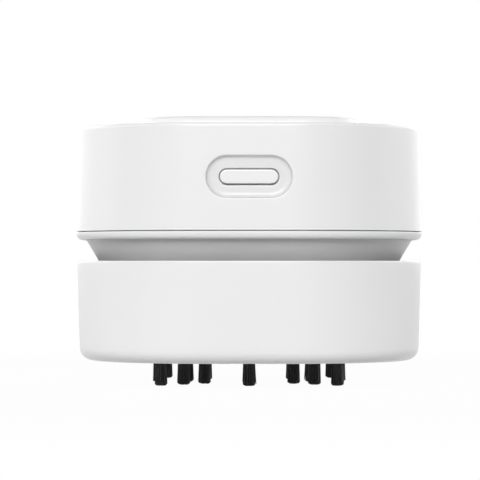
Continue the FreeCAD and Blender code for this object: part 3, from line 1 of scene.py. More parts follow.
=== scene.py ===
# %% [markdown]
# A palm-sized desktop vacuum cleaner: a white head with one push button sits on a white dust box,
# with a grey neck between them, and the box stands on tufts of black bristle. The construction
# comes in as a fixed frame. This script gives each visible surface its finished form and finish.
# The frame is loaded first, because every size below is read from it or measured against it.
# %% Load the frame
import math
import bmesh
import bpy
import numpy as np
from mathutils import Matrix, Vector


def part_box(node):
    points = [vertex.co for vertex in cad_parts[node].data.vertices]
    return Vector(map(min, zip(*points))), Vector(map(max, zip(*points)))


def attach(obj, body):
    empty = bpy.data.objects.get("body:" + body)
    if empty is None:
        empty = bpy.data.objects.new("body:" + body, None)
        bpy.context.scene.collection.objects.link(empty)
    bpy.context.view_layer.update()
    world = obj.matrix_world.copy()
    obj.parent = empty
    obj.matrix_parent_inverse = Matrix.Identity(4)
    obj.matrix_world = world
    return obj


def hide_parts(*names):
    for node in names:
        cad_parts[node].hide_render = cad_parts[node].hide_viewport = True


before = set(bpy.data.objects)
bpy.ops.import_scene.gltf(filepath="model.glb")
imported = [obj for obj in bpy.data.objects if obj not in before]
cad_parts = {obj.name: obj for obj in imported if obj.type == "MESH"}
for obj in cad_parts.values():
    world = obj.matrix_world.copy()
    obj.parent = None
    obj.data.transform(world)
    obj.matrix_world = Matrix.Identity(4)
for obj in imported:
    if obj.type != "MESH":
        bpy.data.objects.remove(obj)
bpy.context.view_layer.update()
MM = 0.001


def put(name, data):
    """A new object in the scene for a mesh, a lamp or the camera."""
    thing = bpy.data.objects.new(name, data)
    bpy.context.scene.collection.objects.link(thing)
    return thing


# %% [markdown]
# The camera stands level with the groove, 626 mm in front of the middle, with a long lens, as a
# product photographer would set it: the sides stay almost parallel and nothing bulges. Aiming it
# a little off the middle places the object in the picture, so no lens shift is needed. The case is
# 1.7 % wider for its height than in the photograph, and the scale shares that out evenly.
# %% Camera
PHOTO_SIDE = 480
PIXEL = 0.2477 * MM
AXIS_COLUMN = 249.1
HORIZON_ROW = 265.0
CAMERA_DISTANCE = 0.626
CAMERA_HEIGHT = 28.9 * MM
SENSOR = 36.0

camera = put("camera", bpy.data.cameras.new("camera"))
camera.data.sensor_width = SENSOR
camera.data.lens = SENSOR * CAMERA_DISTANCE / (PHOTO_SIDE * PIXEL)
camera.data.clip_start = 0.01
aim_x = (PHOTO_SIDE / 2 - AXIS_COLUMN) * PIXEL
aim_z = CAMERA_HEIGHT + (HORIZON_ROW - PHOTO_SIDE / 2) * PIXEL
camera.location = (0.0, -CAMERA_DISTANCE, CAMERA_HEIGHT)
camera.rotation_euler = (math.pi / 2 + math.atan2(aim_z - CAMERA_HEIGHT, CAMERA_DISTANCE), 0.0,
                         math.atan2(-aim_x, CAMERA_DISTANCE))
bpy.context.scene.camera = camera
print("lens", round(camera.data.lens, 1), "mm")

# %% [markdown]
# Seen from above, every layer of the case is the same figure: a square with large round corners.
# Drawn in or out by some distance, its straight stretches keep their length and only the corner
# radius changes, so one number, the straight half length, ties all layers together. The outline
# is worked out in polar form, because then a circle is the same figure with no straight stretch,
# and a layer can change smoothly from a square to a round tube.
# %% Outline of a layer
BODY_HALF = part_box("base_ring")[1].x
CORNER_ROUND = 32.0 * MM
STRAIGHT = BODY_HALF - CORNER_ROUND


def reach(angle, half, corner):
    """Distance from the middle to the outline in a direction.

    The direction is folded into the first quarter. On a flat side the distance is the half
    width over the larger of cosine and sine. Past the end of the flat it is where the ray
    leaves the corner circle: f * (cos + sin) + sqrt(corner^2 - f^2 * (cos - sin)^2), with f
    the place of the circle's centre.
    """
    cosine = np.abs(np.cos(angle))
    sine = np.abs(np.sin(angle))
    flat = half - corner
    large = np.maximum(cosine, sine)
    straight = half / large
    inside = np.maximum(corner ** 2 - (flat * (cosine - sine)) ** 2, 0.0)
    rounded = flat * (cosine + sine) + np.sqrt(inside)
    return np.where(straight * np.minimum(cosine, sine) <= flat, straight, rounded)


def between(breaks, step):
    """Values that hit every break, with even steps no longer than the given one."""
    pieces = []
    for start, end in zip(breaks[:-1], breaks[1:]):
        count = max(1, math.ceil(abs(end - start) / step - 1e-9))
        pieces.append(np.linspace(start, end, count + 1)[:-1])
    return np.concatenate(pieces + [np.array([breaks[-1]])])


print("straight half length", round(STRAIGHT / MM, 2), "mm")

# %% [markdown]
# A layered case is a profile carried round that outline. The profile is a list of rows, each with
# a half width, a corner radius and a height, and the surface is a function of two parameters: the
# row and the angle. Round edges are rows on an arc. This is chosen over boolean cuts, because the
# rows decide where the highlights run, and they stay clean.
# %% Rows of a profile
def row(half, level, corner=None):
    """One row, in millimetres. Without a corner radius it follows the case."""
    return [half, half - STRAIGHT / MM if corner is None else corner, level]


def arc_rows(half, level, radius, start, end, steps=6, corner=None):
    """Rows on an arc about a centre (half, level), from one angle in degrees to another.

    0 points outwards and 90 up. A given corner is the corner radius at the arc's centre.
    """
    turn = np.radians(np.linspace(start, end, steps + 1))
    out = half + radius * np.cos(turn)
    up = level + radius * np.sin(turn)
    base = half - STRAIGHT / MM if corner is None else corner
    return [[x, base + x - half, z] for x, z in zip(out, up)]


def lay_grid(rows, angles):
    """Points of the surface, one line of the array for each row, in metres."""
    half, corner, level = (np.array(rows) * MM).T
    corner = np.clip(corner, 0.0, half)
    radius = reach(angles[None, :], half[:, None], corner[:, None])
    points = np.empty(radius.shape + (3,))
    points[..., 0] = radius * np.cos(angles)
    points[..., 1] = radius * np.sin(angles)
    points[..., 2] = level[:, None]
    return points


def grid_faces(rows, columns, windows=()):
    """Four-cornered faces of a grid that closes on itself round the columns, without its windows."""
    index = np.arange(rows * columns).reshape(rows, columns)
    ahead = np.roll(index, -1, axis=1)
    faces = np.stack([index[:-1], ahead[:-1], ahead[1:], index[1:]], axis=-1)
    keep = np.ones(faces.shape[:2], bool)
    for low, high, first, last in windows:
        keep[low:high, first:last] = False
    return faces[keep]


def strip_faces(first, second):
    """Faces between two loops with the same number of points."""
    return np.stack([first, np.roll(first, -1), np.roll(second, -1), second], axis=-1)


def nearest(values, target):
    """Number of the value that is nearest to a target."""
    return int(np.argmin(np.abs(np.asarray(values) - target)))


print("helpers ready")

# %% [markdown]
# One function turns points and faces into a piece. Doubled points are merged, so that seams and
# poles close, and then the faces are turned outwards. Edges sharper than 35 degrees stay crisp.
# Most pieces are rows carried once round, so a second function makes a piece from its rows.
# %% Make a piece
SHARP = math.radians(35)
MERGE = 0.0005 * MM
ROUND_TURN = between(np.radians([0, 360]), math.radians(1.0))[:-1]


def smooth(mesh, sharp=SHARP):
    """Smooth shading that stays crisp at edges sharper than an angle."""
    mesh.shade_smooth()
    mesh.set_sharp_from_angle(angle=sharp)


def raw_mesh(name, points, faces):
    """A mesh from an array of points, whatever its shape, and a list of faces."""
    mesh = bpy.data.meshes.new(name)
    mesh.from_pydata(points.reshape(-1, 3).tolist(), [], faces)
    return mesh


def store(mesh, name, values):
    """Store a number for each point, for a material to read."""
    mark = mesh.attributes.new(name, "FLOAT", "POINT")
    mark.data.foreach_set("value", values.astype(np.float32))


def make_piece(name, points, faces, node_names, body, sharp=SHARP):
    """A finished mesh at the origin that rides on a body and stands for CAD nodes."""
    mesh = raw_mesh(name, points, np.asarray(faces).tolist())
    work = bmesh.new()
    work.from_mesh(mesh)
    bmesh.ops.remove_doubles(work, verts=work.verts, dist=MERGE)
    bmesh.ops.recalc_face_normals(work, faces=work.faces)
    open_edges = sum(1 for edge in work.edges if len(edge.link_faces) != 2)
    work.to_mesh(mesh)
    work.free()
    smooth(mesh, sharp)
    piece = put(name, mesh)
    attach(piece, body)
    if node_names:
        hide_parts(*node_names)
    print(name, len(mesh.polygons), "faces", open_edges, "open edges")
    return piece


def ring_piece(name, rows, node_names, body):
    """A piece whose surface is its rows, carried round the outline."""
    return make_piece(name, lay_grid(rows, ROUND_TURN), grid_faces(len(rows), len(ROUND_TURN)),
                      node_names, body)


# %% [markdown]
# The dust box is a tray that narrows by 1.6 degrees towards a lower edge with a 3 mm round. Its
# profile runs once round the whole wall: outside, underside, the seat of the brush plate, through
# the round hole for the inlet tube, over the floor and up the inner wall to the rim. On the way
# the outline changes from the square of the case to a circle and back.
# %% Dust box
BOX_LOW, BOX_HIGH = (corner.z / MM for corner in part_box("dust_box"))
BOX_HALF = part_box("dust_box")[1].x / MM
BOX_TAPER = 1.6
BOX_DRAFT = math.tan(math.radians(BOX_TAPER))
BOX_WALL = 2.4
BOX_INNER = BOX_HALF - BOX_WALL
EDGE_ROUND = 3.1
RIM_ROUND = 0.35
FLOOR_THICK, PLATE_THICK, PAN_THICK = 2.0, 2.0, 1.5
FLOOR = BOX_LOW + FLOOR_THICK
MOUTH = 10.5
TUBE_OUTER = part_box("inlet_tube")[1].x / MM
TUBE_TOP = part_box("inlet_tube")[1].z / MM
PLATE_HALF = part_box("brush_plate")[1].x / MM
PLATE_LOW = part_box("brush_plate")[0].z / MM
PLATE_TOP = PLATE_LOW + PLATE_THICK
PAN_TOP = PLATE_TOP + PAN_THICK
PLATE_CORNER = 14.0
SEAT_GAP = 0.05
WALL_STEP = 1.6

foot_half = BOX_HALF - BOX_DRAFT * (BOX_HIGH - BOX_LOW)
edge_half = foot_half + BOX_DRAFT * EDGE_ROUND - EDGE_ROUND
seat_half = PLATE_HALF + SEAT_GAP
seat_corner = PLATE_CORNER + SEAT_GAP
tube_hole = TUBE_OUTER + SEAT_GAP
wall_top = BOX_HIGH - 2 * RIM_ROUND
wall_levels = between([wall_top, BOX_LOW + EDGE_ROUND + 0.4], WALL_STEP)
box_rows = (
    arc_rows(BOX_HALF - RIM_ROUND, BOX_HIGH - RIM_ROUND, RIM_ROUND, 90, 0, 4)
    + [row(BOX_HALF - BOX_DRAFT * (wall_top - level), level) for level in wall_levels]
    + arc_rows(edge_half, BOX_LOW + EDGE_ROUND, EDGE_ROUND, -BOX_TAPER, -90, 14)
    + [row(seat_half + 4, BOX_LOW, seat_corner + 6), row(seat_half + 0.2, BOX_LOW, seat_corner + 0.2),
       row(seat_half, BOX_LOW + 0.2, seat_corner), row(seat_half, PLATE_TOP, seat_corner),
       row(20, PLATE_TOP, 14), row(tube_hole, PLATE_TOP, tube_hole),
       row(tube_hole, PAN_TOP - 0.15, tube_hole), row(tube_hole + 0.15, PAN_TOP, tube_hole + 0.15),
       row(20, PAN_TOP, 15), row(seat_half + 1.4, PAN_TOP, seat_corner + 1.4),
       row(seat_half + 1.8, PAN_TOP - 0.4, seat_corner + 1.8),
       row(seat_half + 1.8, FLOOR, seat_corner + 1.8), row(BOX_INNER - 1.2, FLOOR)]
    + arc_rows(BOX_INNER - 1.2, FLOOR + 1.2, 1.2, -90, 0, 5)
    + [row(BOX_INNER, level) for level in between([FLOOR + 2, BOX_HIGH - RIM_ROUND], 3.0)]
    + arc_rows(BOX_INNER + RIM_ROUND, BOX_HIGH - RIM_ROUND, RIM_ROUND, 180, 90, 4)
)
box_rows.append(box_rows[0])
dust_box = ring_piece("dust_box_skin", box_rows, ["dust_box"], "dust_base")

# %% [markdown]
# The inlet tube is a plain round tube with a rounded rim. A circle is the case's outline without
# straight stretches, so the same rows describe it.
# %% Inlet tube
TUBE_ROUND = 0.5
inner_round = MOUTH + TUBE_ROUND
outer_round = TUBE_OUTER - TUBE_ROUND
tube_rows = (
    [row(MOUTH, level, MOUTH) for level in between([PLATE_TOP, TUBE_TOP - TUBE_ROUND - 0.3], 1.5)]
    + arc_rows(inner_round, TUBE_TOP - TUBE_ROUND, TUBE_ROUND, 180, 90, 5, corner=inner_round)
    + arc_rows(outer_round, TUBE_TOP - TUBE_ROUND, TUBE_ROUND, 90, 0, 5, corner=outer_round)
    + [row(TUBE_OUTER, PLATE_TOP, TUBE_OUTER), row(MOUTH, PLATE_TOP, MOUTH)]
)
tube = ring_piece("inlet_tube_skin", tube_rows, ["inlet_tube"], "dust_base")

# %% [markdown]
# Eight slim ribs stand on the floor against the inner wall and carry the filter. Each is a short
# bar with a rounded nose, the same outline carried upwards, so all of them are one array turned
# to the four sides.
# %% Filter ribs
RIB_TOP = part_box("filter_frame")[0].z / MM - 0.15
RIB_PLACE = 11.0
RIB_WIDTH = 1.6
RIB_DEPTH = 1.8


def rib_points():
    """Outline with a half-round nose, carried from the floor to the seat, for eight places."""
    turn = np.radians(np.linspace(0, 180, 9))
    nose = np.stack([np.cos(turn) * RIB_WIDTH / 2, -np.sin(turn) * RIB_WIDTH / 2], axis=-1)
    nose[:, 1] += BOX_INNER - RIB_DEPTH + RIB_WIDTH / 2
    back = np.array([[-RIB_WIDTH / 2, BOX_INNER + 0.3], [RIB_WIDTH / 2, BOX_INNER + 0.3]])
    outline = np.concatenate([nose, back])
    places = []
    for side in range(4):
        cosine, sine = math.cos(side * math.pi / 2), math.sin(side * math.pi / 2)
        for offset in (-RIB_PLACE, RIB_PLACE):
            shifted = outline + np.array([offset, 0.0])
            turned = shifted @ np.array([[cosine, sine], [-sine, cosine]])
            for level in (FLOOR - 0.2, RIB_TOP):
                places.append(np.column_stack([turned, np.full(len(turned), level)]))
    return np.array(places) * MM


rings = rib_points()
count = rings.shape[1]
faces = []
for bar in range(8):
    low = np.arange(count) + 2 * bar * count
    high = low + count
    faces += strip_faces(low, high).tolist() + [low[::-1].tolist(), high.tolist()]
ribs = raw_mesh("filter_ribs", rings, faces)
smooth(ribs)
filter_ribs = put("filter_ribs", ribs)
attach(filter_ribs, "dust_base")
print("ribs", len(ribs.polygons), "faces")

# %% [markdown]
# The neck is the grey part that the exhaust leaves through. Under the bezel it has a small hollow
# round, then it slopes in by 30.6 degrees, and at its foot, below the rim of the dust box, five
# slots on each side let the air out. The slots are windows of the grid: their faces are left out
# of the outer and the inner wall, and a strip joins the two openings.
# %% Grey neck
NECK_LOW, NECK_HIGH = (corner.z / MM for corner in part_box("exhaust_neck"))
FLANGE_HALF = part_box("exhaust_neck")[1].x / MM
BEZEL_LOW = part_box("base_ring")[0].z / MM
NECK_HALF = 39.6
NECK_SLOPE = math.radians(30.6)
FOOT_DEPTH, FOOT_THICK = 3.5, 1.5
NECK_FOOT = BOX_HIGH - FOOT_DEPTH
NECK_WALL = 1.8
NECK_STEP = 1.3
COVE = 0.9
FLANGE_ROWS, FLANGE_WIDTH = 4, 2.6
SHELF_EYE, SHELF_THICK, SHELF_DROP = 30.5, 1.5, 1.9
SPIGOT_GAP = 0.3
SPIGOT_HALF = BOX_INNER - SPIGOT_GAP
GROOVE_LOW, GROOVE_HIGH, GROOVE_DEPTH = 1.2, 2.8, 1
SLOT_WIDTH, SLOT_HEIGHT, SLOT_PITCH, SLOT_RISE = 4.2, 2.5, 7.0, 0.4
SLOTS = 5


def neck_half(level):
    """Half width of the sloping wall at a height."""
    return NECK_HALF - (BEZEL_LOW - level) * math.tan(NECK_SLOPE)


slot_low = NECK_FOOT + SLOT_RISE
slot_high = slot_low + SLOT_HEIGHT
tangent = COVE / math.tan((math.pi / 2 + NECK_SLOPE) / 2)
cove_half = NECK_HALF + tangent
cove_rows = arc_rows(cove_half, BEZEL_LOW - COVE, COVE, 90, 180 - math.degrees(NECK_SLOPE), 6)
shelf = NECK_HIGH - SHELF_DROP - SHELF_THICK
wall_levels = [cove_rows[-1][2] - 0.4, 31.5, slot_high, slot_low, NECK_FOOT]
outer = [row(neck_half(level), level) for level in between(wall_levels, NECK_STEP)]
outer_start = FLANGE_ROWS + len(cove_rows)
first_slot_row, last_slot_row = (outer_start + nearest([r[2] for r in outer], level)
                                 for level in (slot_high, slot_low))
inner_levels = between([NECK_FOOT - FOOT_THICK, slot_low, slot_high, shelf], NECK_STEP)
neck_rows = (
    [row(FLANGE_HALF - FLANGE_WIDTH, NECK_HIGH), row(FLANGE_HALF, NECK_HIGH), row(FLANGE_HALF, BEZEL_LOW),
     row((FLANGE_HALF + cove_half) / 2, BEZEL_LOW)]
    + cove_rows + outer
    + [row(neck_half(NECK_FOOT) + 0.5, NECK_FOOT), row(SPIGOT_HALF - 0.3, NECK_FOOT)]
    + arc_rows(SPIGOT_HALF - 0.3, NECK_FOOT - 0.3, 0.3, 90, 0, 3)
    + [row(SPIGOT_HALF, NECK_LOW + GROOVE_HIGH), row(SPIGOT_HALF - GROOVE_DEPTH, NECK_LOW + GROOVE_HIGH),
       row(SPIGOT_HALF - GROOVE_DEPTH, NECK_LOW + GROOVE_LOW), row(SPIGOT_HALF, NECK_LOW + GROOVE_LOW)]
    + arc_rows(SPIGOT_HALF - 0.3, NECK_LOW + 0.3, 0.3, 0, -90, 3)
    + [row(SPIGOT_HALF - 1.5, NECK_LOW), row(SPIGOT_HALF - 1.5, NECK_FOOT - FOOT_THICK)]
    + [row(neck_half(level) - NECK_WALL, level) for level in inner_levels]
    + [row(SHELF_EYE, shelf, SHELF_EYE), row(SHELF_EYE, shelf + SHELF_THICK, SHELF_EYE),
       row(FLANGE_HALF - 2.65, shelf + SHELF_THICK), row(FLANGE_HALF - 2.65, NECK_HIGH),
       row(FLANGE_HALF - FLANGE_WIDTH, NECK_HIGH)]
)
inner_start = len(neck_rows) - 5 - len(inner_levels)
inner_low, inner_high = (inner_start + nearest(inner_levels, level) for level in (slot_low, slot_high))
slot_half = neck_half((slot_low + slot_high) / 2)
edges = [(slot - (SLOTS - 1) / 2) * SLOT_PITCH + side * SLOT_WIDTH / 2
         for slot in range(SLOTS) for side in (-1, 1)]
turns = [math.atan2(edge, slot_half) for edge in edges]
breaks = [quarter * math.pi / 2 + turn for quarter in range(4) for turn in turns]
breaks.append(breaks[0] + 2 * math.pi)
neck_turn = between(breaks, math.radians(1.4))[:-1]
columns = len(neck_turn)
slots = [[nearest(neck_turn, turn) for turn in breaks[k:k + 2]] for k in range(0, len(breaks) - 1, 2)]
windows = [(*rows_apart, *slot) for slot in slots
           for rows_apart in ((first_slot_row, last_slot_row), (inner_low, inner_high))]
points = lay_grid(neck_rows, neck_turn)
faces = [grid_faces(len(neck_rows), columns, windows)]
for start, end in slots:
    side = np.arange(start, end + 1)
    outside = [first_slot_row * columns + side, last_slot_row * columns + side]
    inside = [inner_high * columns + side, inner_low * columns + side]
    loop_out = np.concatenate([outside[0], outside[1][::-1]])
    loop_in = np.concatenate([inside[0], inside[1][::-1]])
    faces.append(strip_faces(loop_out, loop_in))
neck = make_piece("exhaust_neck_skin", points, np.concatenate(faces), ["exhaust_neck"], "motor_head")
print("slots", len(slots))

# %% [markdown]
# The bezel is the narrow white band between the neck and the head. Its face curves in towards the
# neck over its whole height, as a quarter of an ellipse, and a lip stands up inside the head. The
# thin dark line in the photo is the gap of 0.2 mm between the band and the head, so it is left open
# here as real depth, not painted.
# %% Bezel
LIP = 2.0
LIP_INNER, LIP_OUTER = 38.6, 39.85
BEZEL_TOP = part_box("base_ring")[1].z / MM - LIP
HALF = BODY_HALF / MM
LAND = 1.7
LEDGE = 0.5
BEZEL_CURVE = (1.35, 1.6)
bezel_rows = (
    [row(LIP_INNER, BEZEL_TOP + LIP), row(LIP_OUTER, BEZEL_TOP + LIP), row(LIP_OUTER, BEZEL_TOP)]
    + arc_rows(HALF - 0.12, BEZEL_TOP - 0.12, 0.12, 90, 0, 3)
    + [row(HALF - BEZEL_CURVE[0] * (1 - math.cos(t)), BEZEL_LOW + BEZEL_CURVE[1] * (1 - math.sin(t)))
       for t in np.radians(np.linspace(0, 90, 15))]
    + [row(HALF - LAND + 0.1, BEZEL_LOW), row(HALF - LAND, BEZEL_LOW + 0.1),
       row(HALF - LAND, BEZEL_TOP - LEDGE), row(LIP_INNER, BEZEL_TOP - LEDGE),
       row(LIP_INNER, BEZEL_TOP + LIP)]
)
bezel = ring_piece("bezel_band", bezel_rows, ["base_ring"], "motor_head")

# %% [markdown]
# The head's shell is a hood with 1.5 degrees of taper. In front it has the pill-shaped recess with
# a slot for the key, and at the back the hole for the charging plug. Both are made the same way: a
# window is left out of the grid, and rings of points lead from the window's edge over the rounded
# rim, down the recess, through the wall and out to the same window of the inner wall. Each ring
# is a pill outline, and each point lies in the direction of its partner on the window's edge.
# %% Pill rings
def pill_reach(angle, half_width, half_height):
    """Distance from the middle of a lying pill to its outline in a direction.

    Over the straight part it is the half height over the sine. Beyond it is where the ray
    leaves the round end: f * cos + sqrt(b^2 - f^2 * sin^2), with f the end's centre.
    """
    cosine = np.abs(np.cos(angle))
    sine = np.maximum(np.abs(np.sin(angle)), 1e-9)
    centre = half_width - half_height
    straight = half_height / sine
    inside = np.maximum(half_height ** 2 - (centre * sine) ** 2, 0.0)
    end = centre * cosine + np.sqrt(inside)
    return np.where(straight * cosine <= centre, straight, end)


def pill_ring(turn, size, level):
    """Places across and up of one pill outline, in the directions given."""
    distance = pill_reach(turn, *size)
    return distance * np.cos(turn), level + distance * np.sin(turn)


print("pill rings ready")

# %% [markdown]
# The rows and columns of the hood are denser where the two windows lie. Outside and inside use the
# same levels there, so that both windows have the same number of points.
# %% Hood
SHELL_LOW = BEZEL_TOP + 0.2
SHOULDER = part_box("upper_shell")[1].z / MM
SHELL_TAPER = 1.5
SHELL_SLOPE = math.tan(math.radians(SHELL_TAPER))
SHELL_WALL = 2.0
ROOF = SHOULDER - 2.4
SHOULDER_ROUND = 0.8
CAP_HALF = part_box("top_cap")[1].x / MM
CAP_CORNER = 14.0
CAP_GAP = 0.12
CAP_SEAT = SHOULDER - 1.0
KEY_LEVEL = sum(corner.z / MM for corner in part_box("power_button")) / 2
KEY_SIZE = (6.8, 1.65)
KEY_GAP, SLOT_ROUND = 0.25, 0.12
RECESS_SIZE = (10.0, 4.9)
RECESS_DEPTH = 1.2
RECESS_ROUND = 0.3
RECESS_HOLLOW = 1.1
PANEL = 1.8
PANEL_MARGIN = 2.2
PORT_LOW, PORT_HIGH = (corner.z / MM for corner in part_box("usb_socket"))
PORT_LEVEL = (PORT_LOW + PORT_HIGH) / 2
PORT_SIZE = ((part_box("usb_socket")[1].x / MM) + 0.3, (PORT_HIGH - PORT_LOW) / 2 + 0.3)
KEY_WINDOW = (14.0, 42.2, 56.6)
PORT_WINDOW = (7.6, 38.0, 44.0)
DENSE_TOP, DENSE_STEP = 57.6, 0.55


def shell_half(level):
    """Half width of the hood's outside at a height."""
    return HALF - SHELL_SLOPE * (level - SHELL_LOW)


def wall_depth(x, level, wall=0.0):
    """How far the hood's outside, or with a wall its inside, lies from the middle plane."""
    corner = shell_half(level) - wall - STRAIGHT / MM
    beyond = np.maximum(np.abs(x) - STRAIGHT / MM, 0.0)
    return STRAIGHT / MM + np.sqrt(np.maximum(corner ** 2 - beyond ** 2, 0.0))


levels = between([SHELL_LOW + 0.2, PORT_WINDOW[1], KEY_WINDOW[1], PORT_WINDOW[2], KEY_WINDOW[2], DENSE_TOP],
                 DENSE_STEP)
shoulder_half = shell_half(SHOULDER - SHOULDER_ROUND) - SHOULDER_ROUND
cap_hole = CAP_HALF + CAP_GAP
cap_hole_corner = CAP_CORNER + CAP_GAP


def share_rows(inner, outer, shares):
    """Rows that lead from one row to another, at shares of the way."""
    start, end = np.array(inner), np.array(outer)
    return [(start + (end - start) * share).tolist() for share in shares]


roof_start = row(cap_hole + 0.1, SHOULDER, cap_hole_corner + 0.1)
roof_end = row(shoulder_half, SHOULDER)
hood_rows = (
    share_rows(row(0, CAP_SEAT, 0), row(cap_hole, CAP_SEAT, cap_hole_corner), [0, 0.4, 0.8, 1])
    + [row(cap_hole, SHOULDER - 0.1, cap_hole_corner)]
    + share_rows(roof_start, roof_end, [0, 0.15, 0.5, 0.85])
    + arc_rows(shoulder_half, SHOULDER - SHOULDER_ROUND, SHOULDER_ROUND, 90, SHELL_TAPER, 10)
    + [row(shell_half(level), level) for level in (60.8, 59.8, 58.7)]
)
outer_first = len(hood_rows)
hood_rows += [row(shell_half(level), level) for level in levels[::-1]]
hood_rows += arc_rows(HALF - 0.12, SHELL_LOW + 0.12, 0.12, 0, -90, 3)
hood_rows += [row(HALF - SHELL_WALL, SHELL_LOW)]
inner_first = len(hood_rows)
hood_rows += [row(shell_half(level) - SHELL_WALL, level) for level in levels]
inner_roof = shell_half(ROOF) - SHELL_WALL
hood_rows += arc_rows(inner_roof - 1, ROOF - 1, 1, 0, 90, 4)
hood_rows += share_rows(row(inner_roof - 1, ROOF), row(0, ROOF, 0), [0.3, 0.7, 1])

front = -math.pi / 2
key_turn = math.atan2(KEY_WINDOW[0], HALF - 0.3)
port_turn = math.atan2(PORT_WINDOW[0], HALF)
stops = [front + key_turn, -front - port_turn, -front + port_turn, front + 2 * math.pi - key_turn,
         front + 2 * math.pi + key_turn]
COARSE, FINE_PORT, FINE_KEY = 1.1, 0.7, 0.5
stretches = [between(stops[k:k + 2], math.radians(step))
             for k, step in enumerate((COARSE, FINE_PORT, COARSE, FINE_KEY))]
hood_turn = np.concatenate([stretch[:-1] for stretch in stretches])
columns = len(hood_turn)
print("hood grid", len(hood_rows), "by", columns)

# %% [markdown]
# Now the windows. For the key the rings come in this order: three rings on the outer wall, the
# rounded rim, the recess wall, the hollow round, the floor, the slot through the thick panel, the
# panel's back and the inner wall. The recess floor is flat while the wall is tapered and bends
# away at the sides, so each ring mixes the two depths by the share of the recess that it has come.
# %% Openings of the hood
def window_of(window, first_column, last_column):
    """Row and column numbers of a window on the outer wall and on the inner wall."""
    low, high = (nearest(levels, edge) for edge in window[1:])
    top = outer_first + len(levels) - 1 - high
    bottom = outer_first + len(levels) - 1 - low
    return ((top, bottom, first_column, last_column),
            (inner_first + low, inner_first + high, first_column, last_column))


def loop_of(window, flip=False):
    """Vertex numbers once round a window. Flipped, it starts from the window's other row."""
    low, high, first, last = window
    across = np.arange(first, last + 1)
    rows_between = np.arange(low + 1, high)
    if flip:
        low, high = high, low
        rows_between = rows_between[::-1]
    return np.concatenate([low * columns + across % columns, rows_between * columns + last % columns,
                           high * columns + across[::-1] % columns,
                           rows_between[::-1] * columns + first % columns])


def grown(size, by):
    """A pill outline moved outwards."""
    return size[0] + by, size[1] + by


port_first, port_last, key_first, key_last = np.cumsum([len(s) - 1 for s in stretches]).tolist()
key_windows = window_of(KEY_WINDOW, key_first, key_last)
port_windows = window_of(PORT_WINDOW, port_first, port_last)
points = lay_grid(hood_rows, hood_turn)
faces = [grid_faces(len(hood_rows), columns, key_windows + port_windows)]
flat_points = points.reshape(-1, 3) / MM


def opening(windows, side, level, rings, through, start_count):
    """Points and faces that line one opening.

    side is -1 in front and 1 behind. rings holds (share, half width, half height) for the outer
    side, where share 0 lies on the wall and 1 on the recess floor; through is the floor's
    distance from the middle plane and the back's distance.
    """
    outside = loop_of(windows[0])
    inside = loop_of(windows[1], flip=True)
    edge = flat_points[outside]
    turn = np.arctan2(edge[:, 2] - level, edge[:, 0])
    floor, back, back_size = through
    layers = []
    for share in (0.35, 0.7, 0.9):
        x, z = pill_ring(turn, rings[0][1:], level)
        x = edge[:, 0] + (x - edge[:, 0]) * share
        z = edge[:, 2] + (z - edge[:, 2]) * share
        layers.append((x, wall_depth(x, z), z))
    for share, half_width, half_height in rings:
        x, z = pill_ring(turn, (half_width, half_height), level)
        wall = wall_depth(x, z)
        layers.append((x, wall + (floor - wall) * share, z))
    last = rings[-1][1:]
    for size in (last, back_size):
        x, z = pill_ring(turn, size, level)
        layers.append((x, np.full(len(x), back), z))
    x, z = pill_ring(turn, grown(back_size, 0.3), level)
    layers.append((x, wall_depth(x, z, SHELL_WALL), z))
    lining = np.array([np.stack([x, side * depth, z], axis=-1) for x, depth, z in layers]) * MM
    size = len(turn)
    numbers = start_count + np.arange(lining.shape[0] * size).reshape(-1, size)
    chain = [outside] + list(numbers) + [inside]
    return lining.reshape(-1, 3), [strip_faces(a, b) for a, b in zip(chain[:-1], chain[1:])]


recess_floor = shell_half(KEY_LEVEL) - RECESS_DEPTH
quarter = np.radians(np.linspace(0, 90, 6))
key_rings = [((RECESS_ROUND - RECESS_ROUND * math.cos(t)) / RECESS_DEPTH,
              *grown(RECESS_SIZE, RECESS_ROUND - RECESS_ROUND * math.sin(t))) for t in quarter]
key_rings += [((RECESS_DEPTH - RECESS_HOLLOW + RECESS_HOLLOW * math.sin(t)) / RECESS_DEPTH,
               *grown(RECESS_SIZE, RECESS_HOLLOW * math.cos(t) - RECESS_HOLLOW)) for t in quarter]
key_slot = grown(KEY_SIZE, KEY_GAP)
floor_size = grown(RECESS_SIZE, -RECESS_HOLLOW)
slot_edge = grown(key_slot, SLOT_ROUND)
key_rings += [(1, *(a + (b - a) * t for a, b in zip(floor_size, slot_edge))) for t in (0.4, 0.8, 1)]
key_rings += [(1 + 0.1 * s, *grown(key_slot, SLOT_ROUND - SLOT_ROUND * s)) for s in (0.4, 1.0)]
panel_size = grown(RECESS_SIZE, PANEL_MARGIN)
key_points, key_faces = opening(key_windows, -1, KEY_LEVEL, key_rings,
                                (recess_floor, recess_floor - PANEL, panel_size), len(flat_points))
port_floor = shell_half(PORT_LEVEL) - 0.3
port_rings = [(s, *grown(PORT_SIZE, 0.25 - 0.25 * math.sin(math.acos(1 - s)))) for s in (0, 0.3, 0.6, 1)]
port_points, port_faces = opening(port_windows, 1, PORT_LEVEL, port_rings,
                                  (port_floor, HALF - SHELL_WALL - 0.1, grown(PORT_SIZE, 0.3)),
                                  len(flat_points) + len(key_points))
all_points = np.concatenate([flat_points * MM, key_points, port_points])
all_faces = np.concatenate(faces + key_faces + port_faces)
hood = make_piece("upper_shell_skin", all_points, all_faces, ["upper_shell"], "motor_head",
                  sharp=math.radians(50))


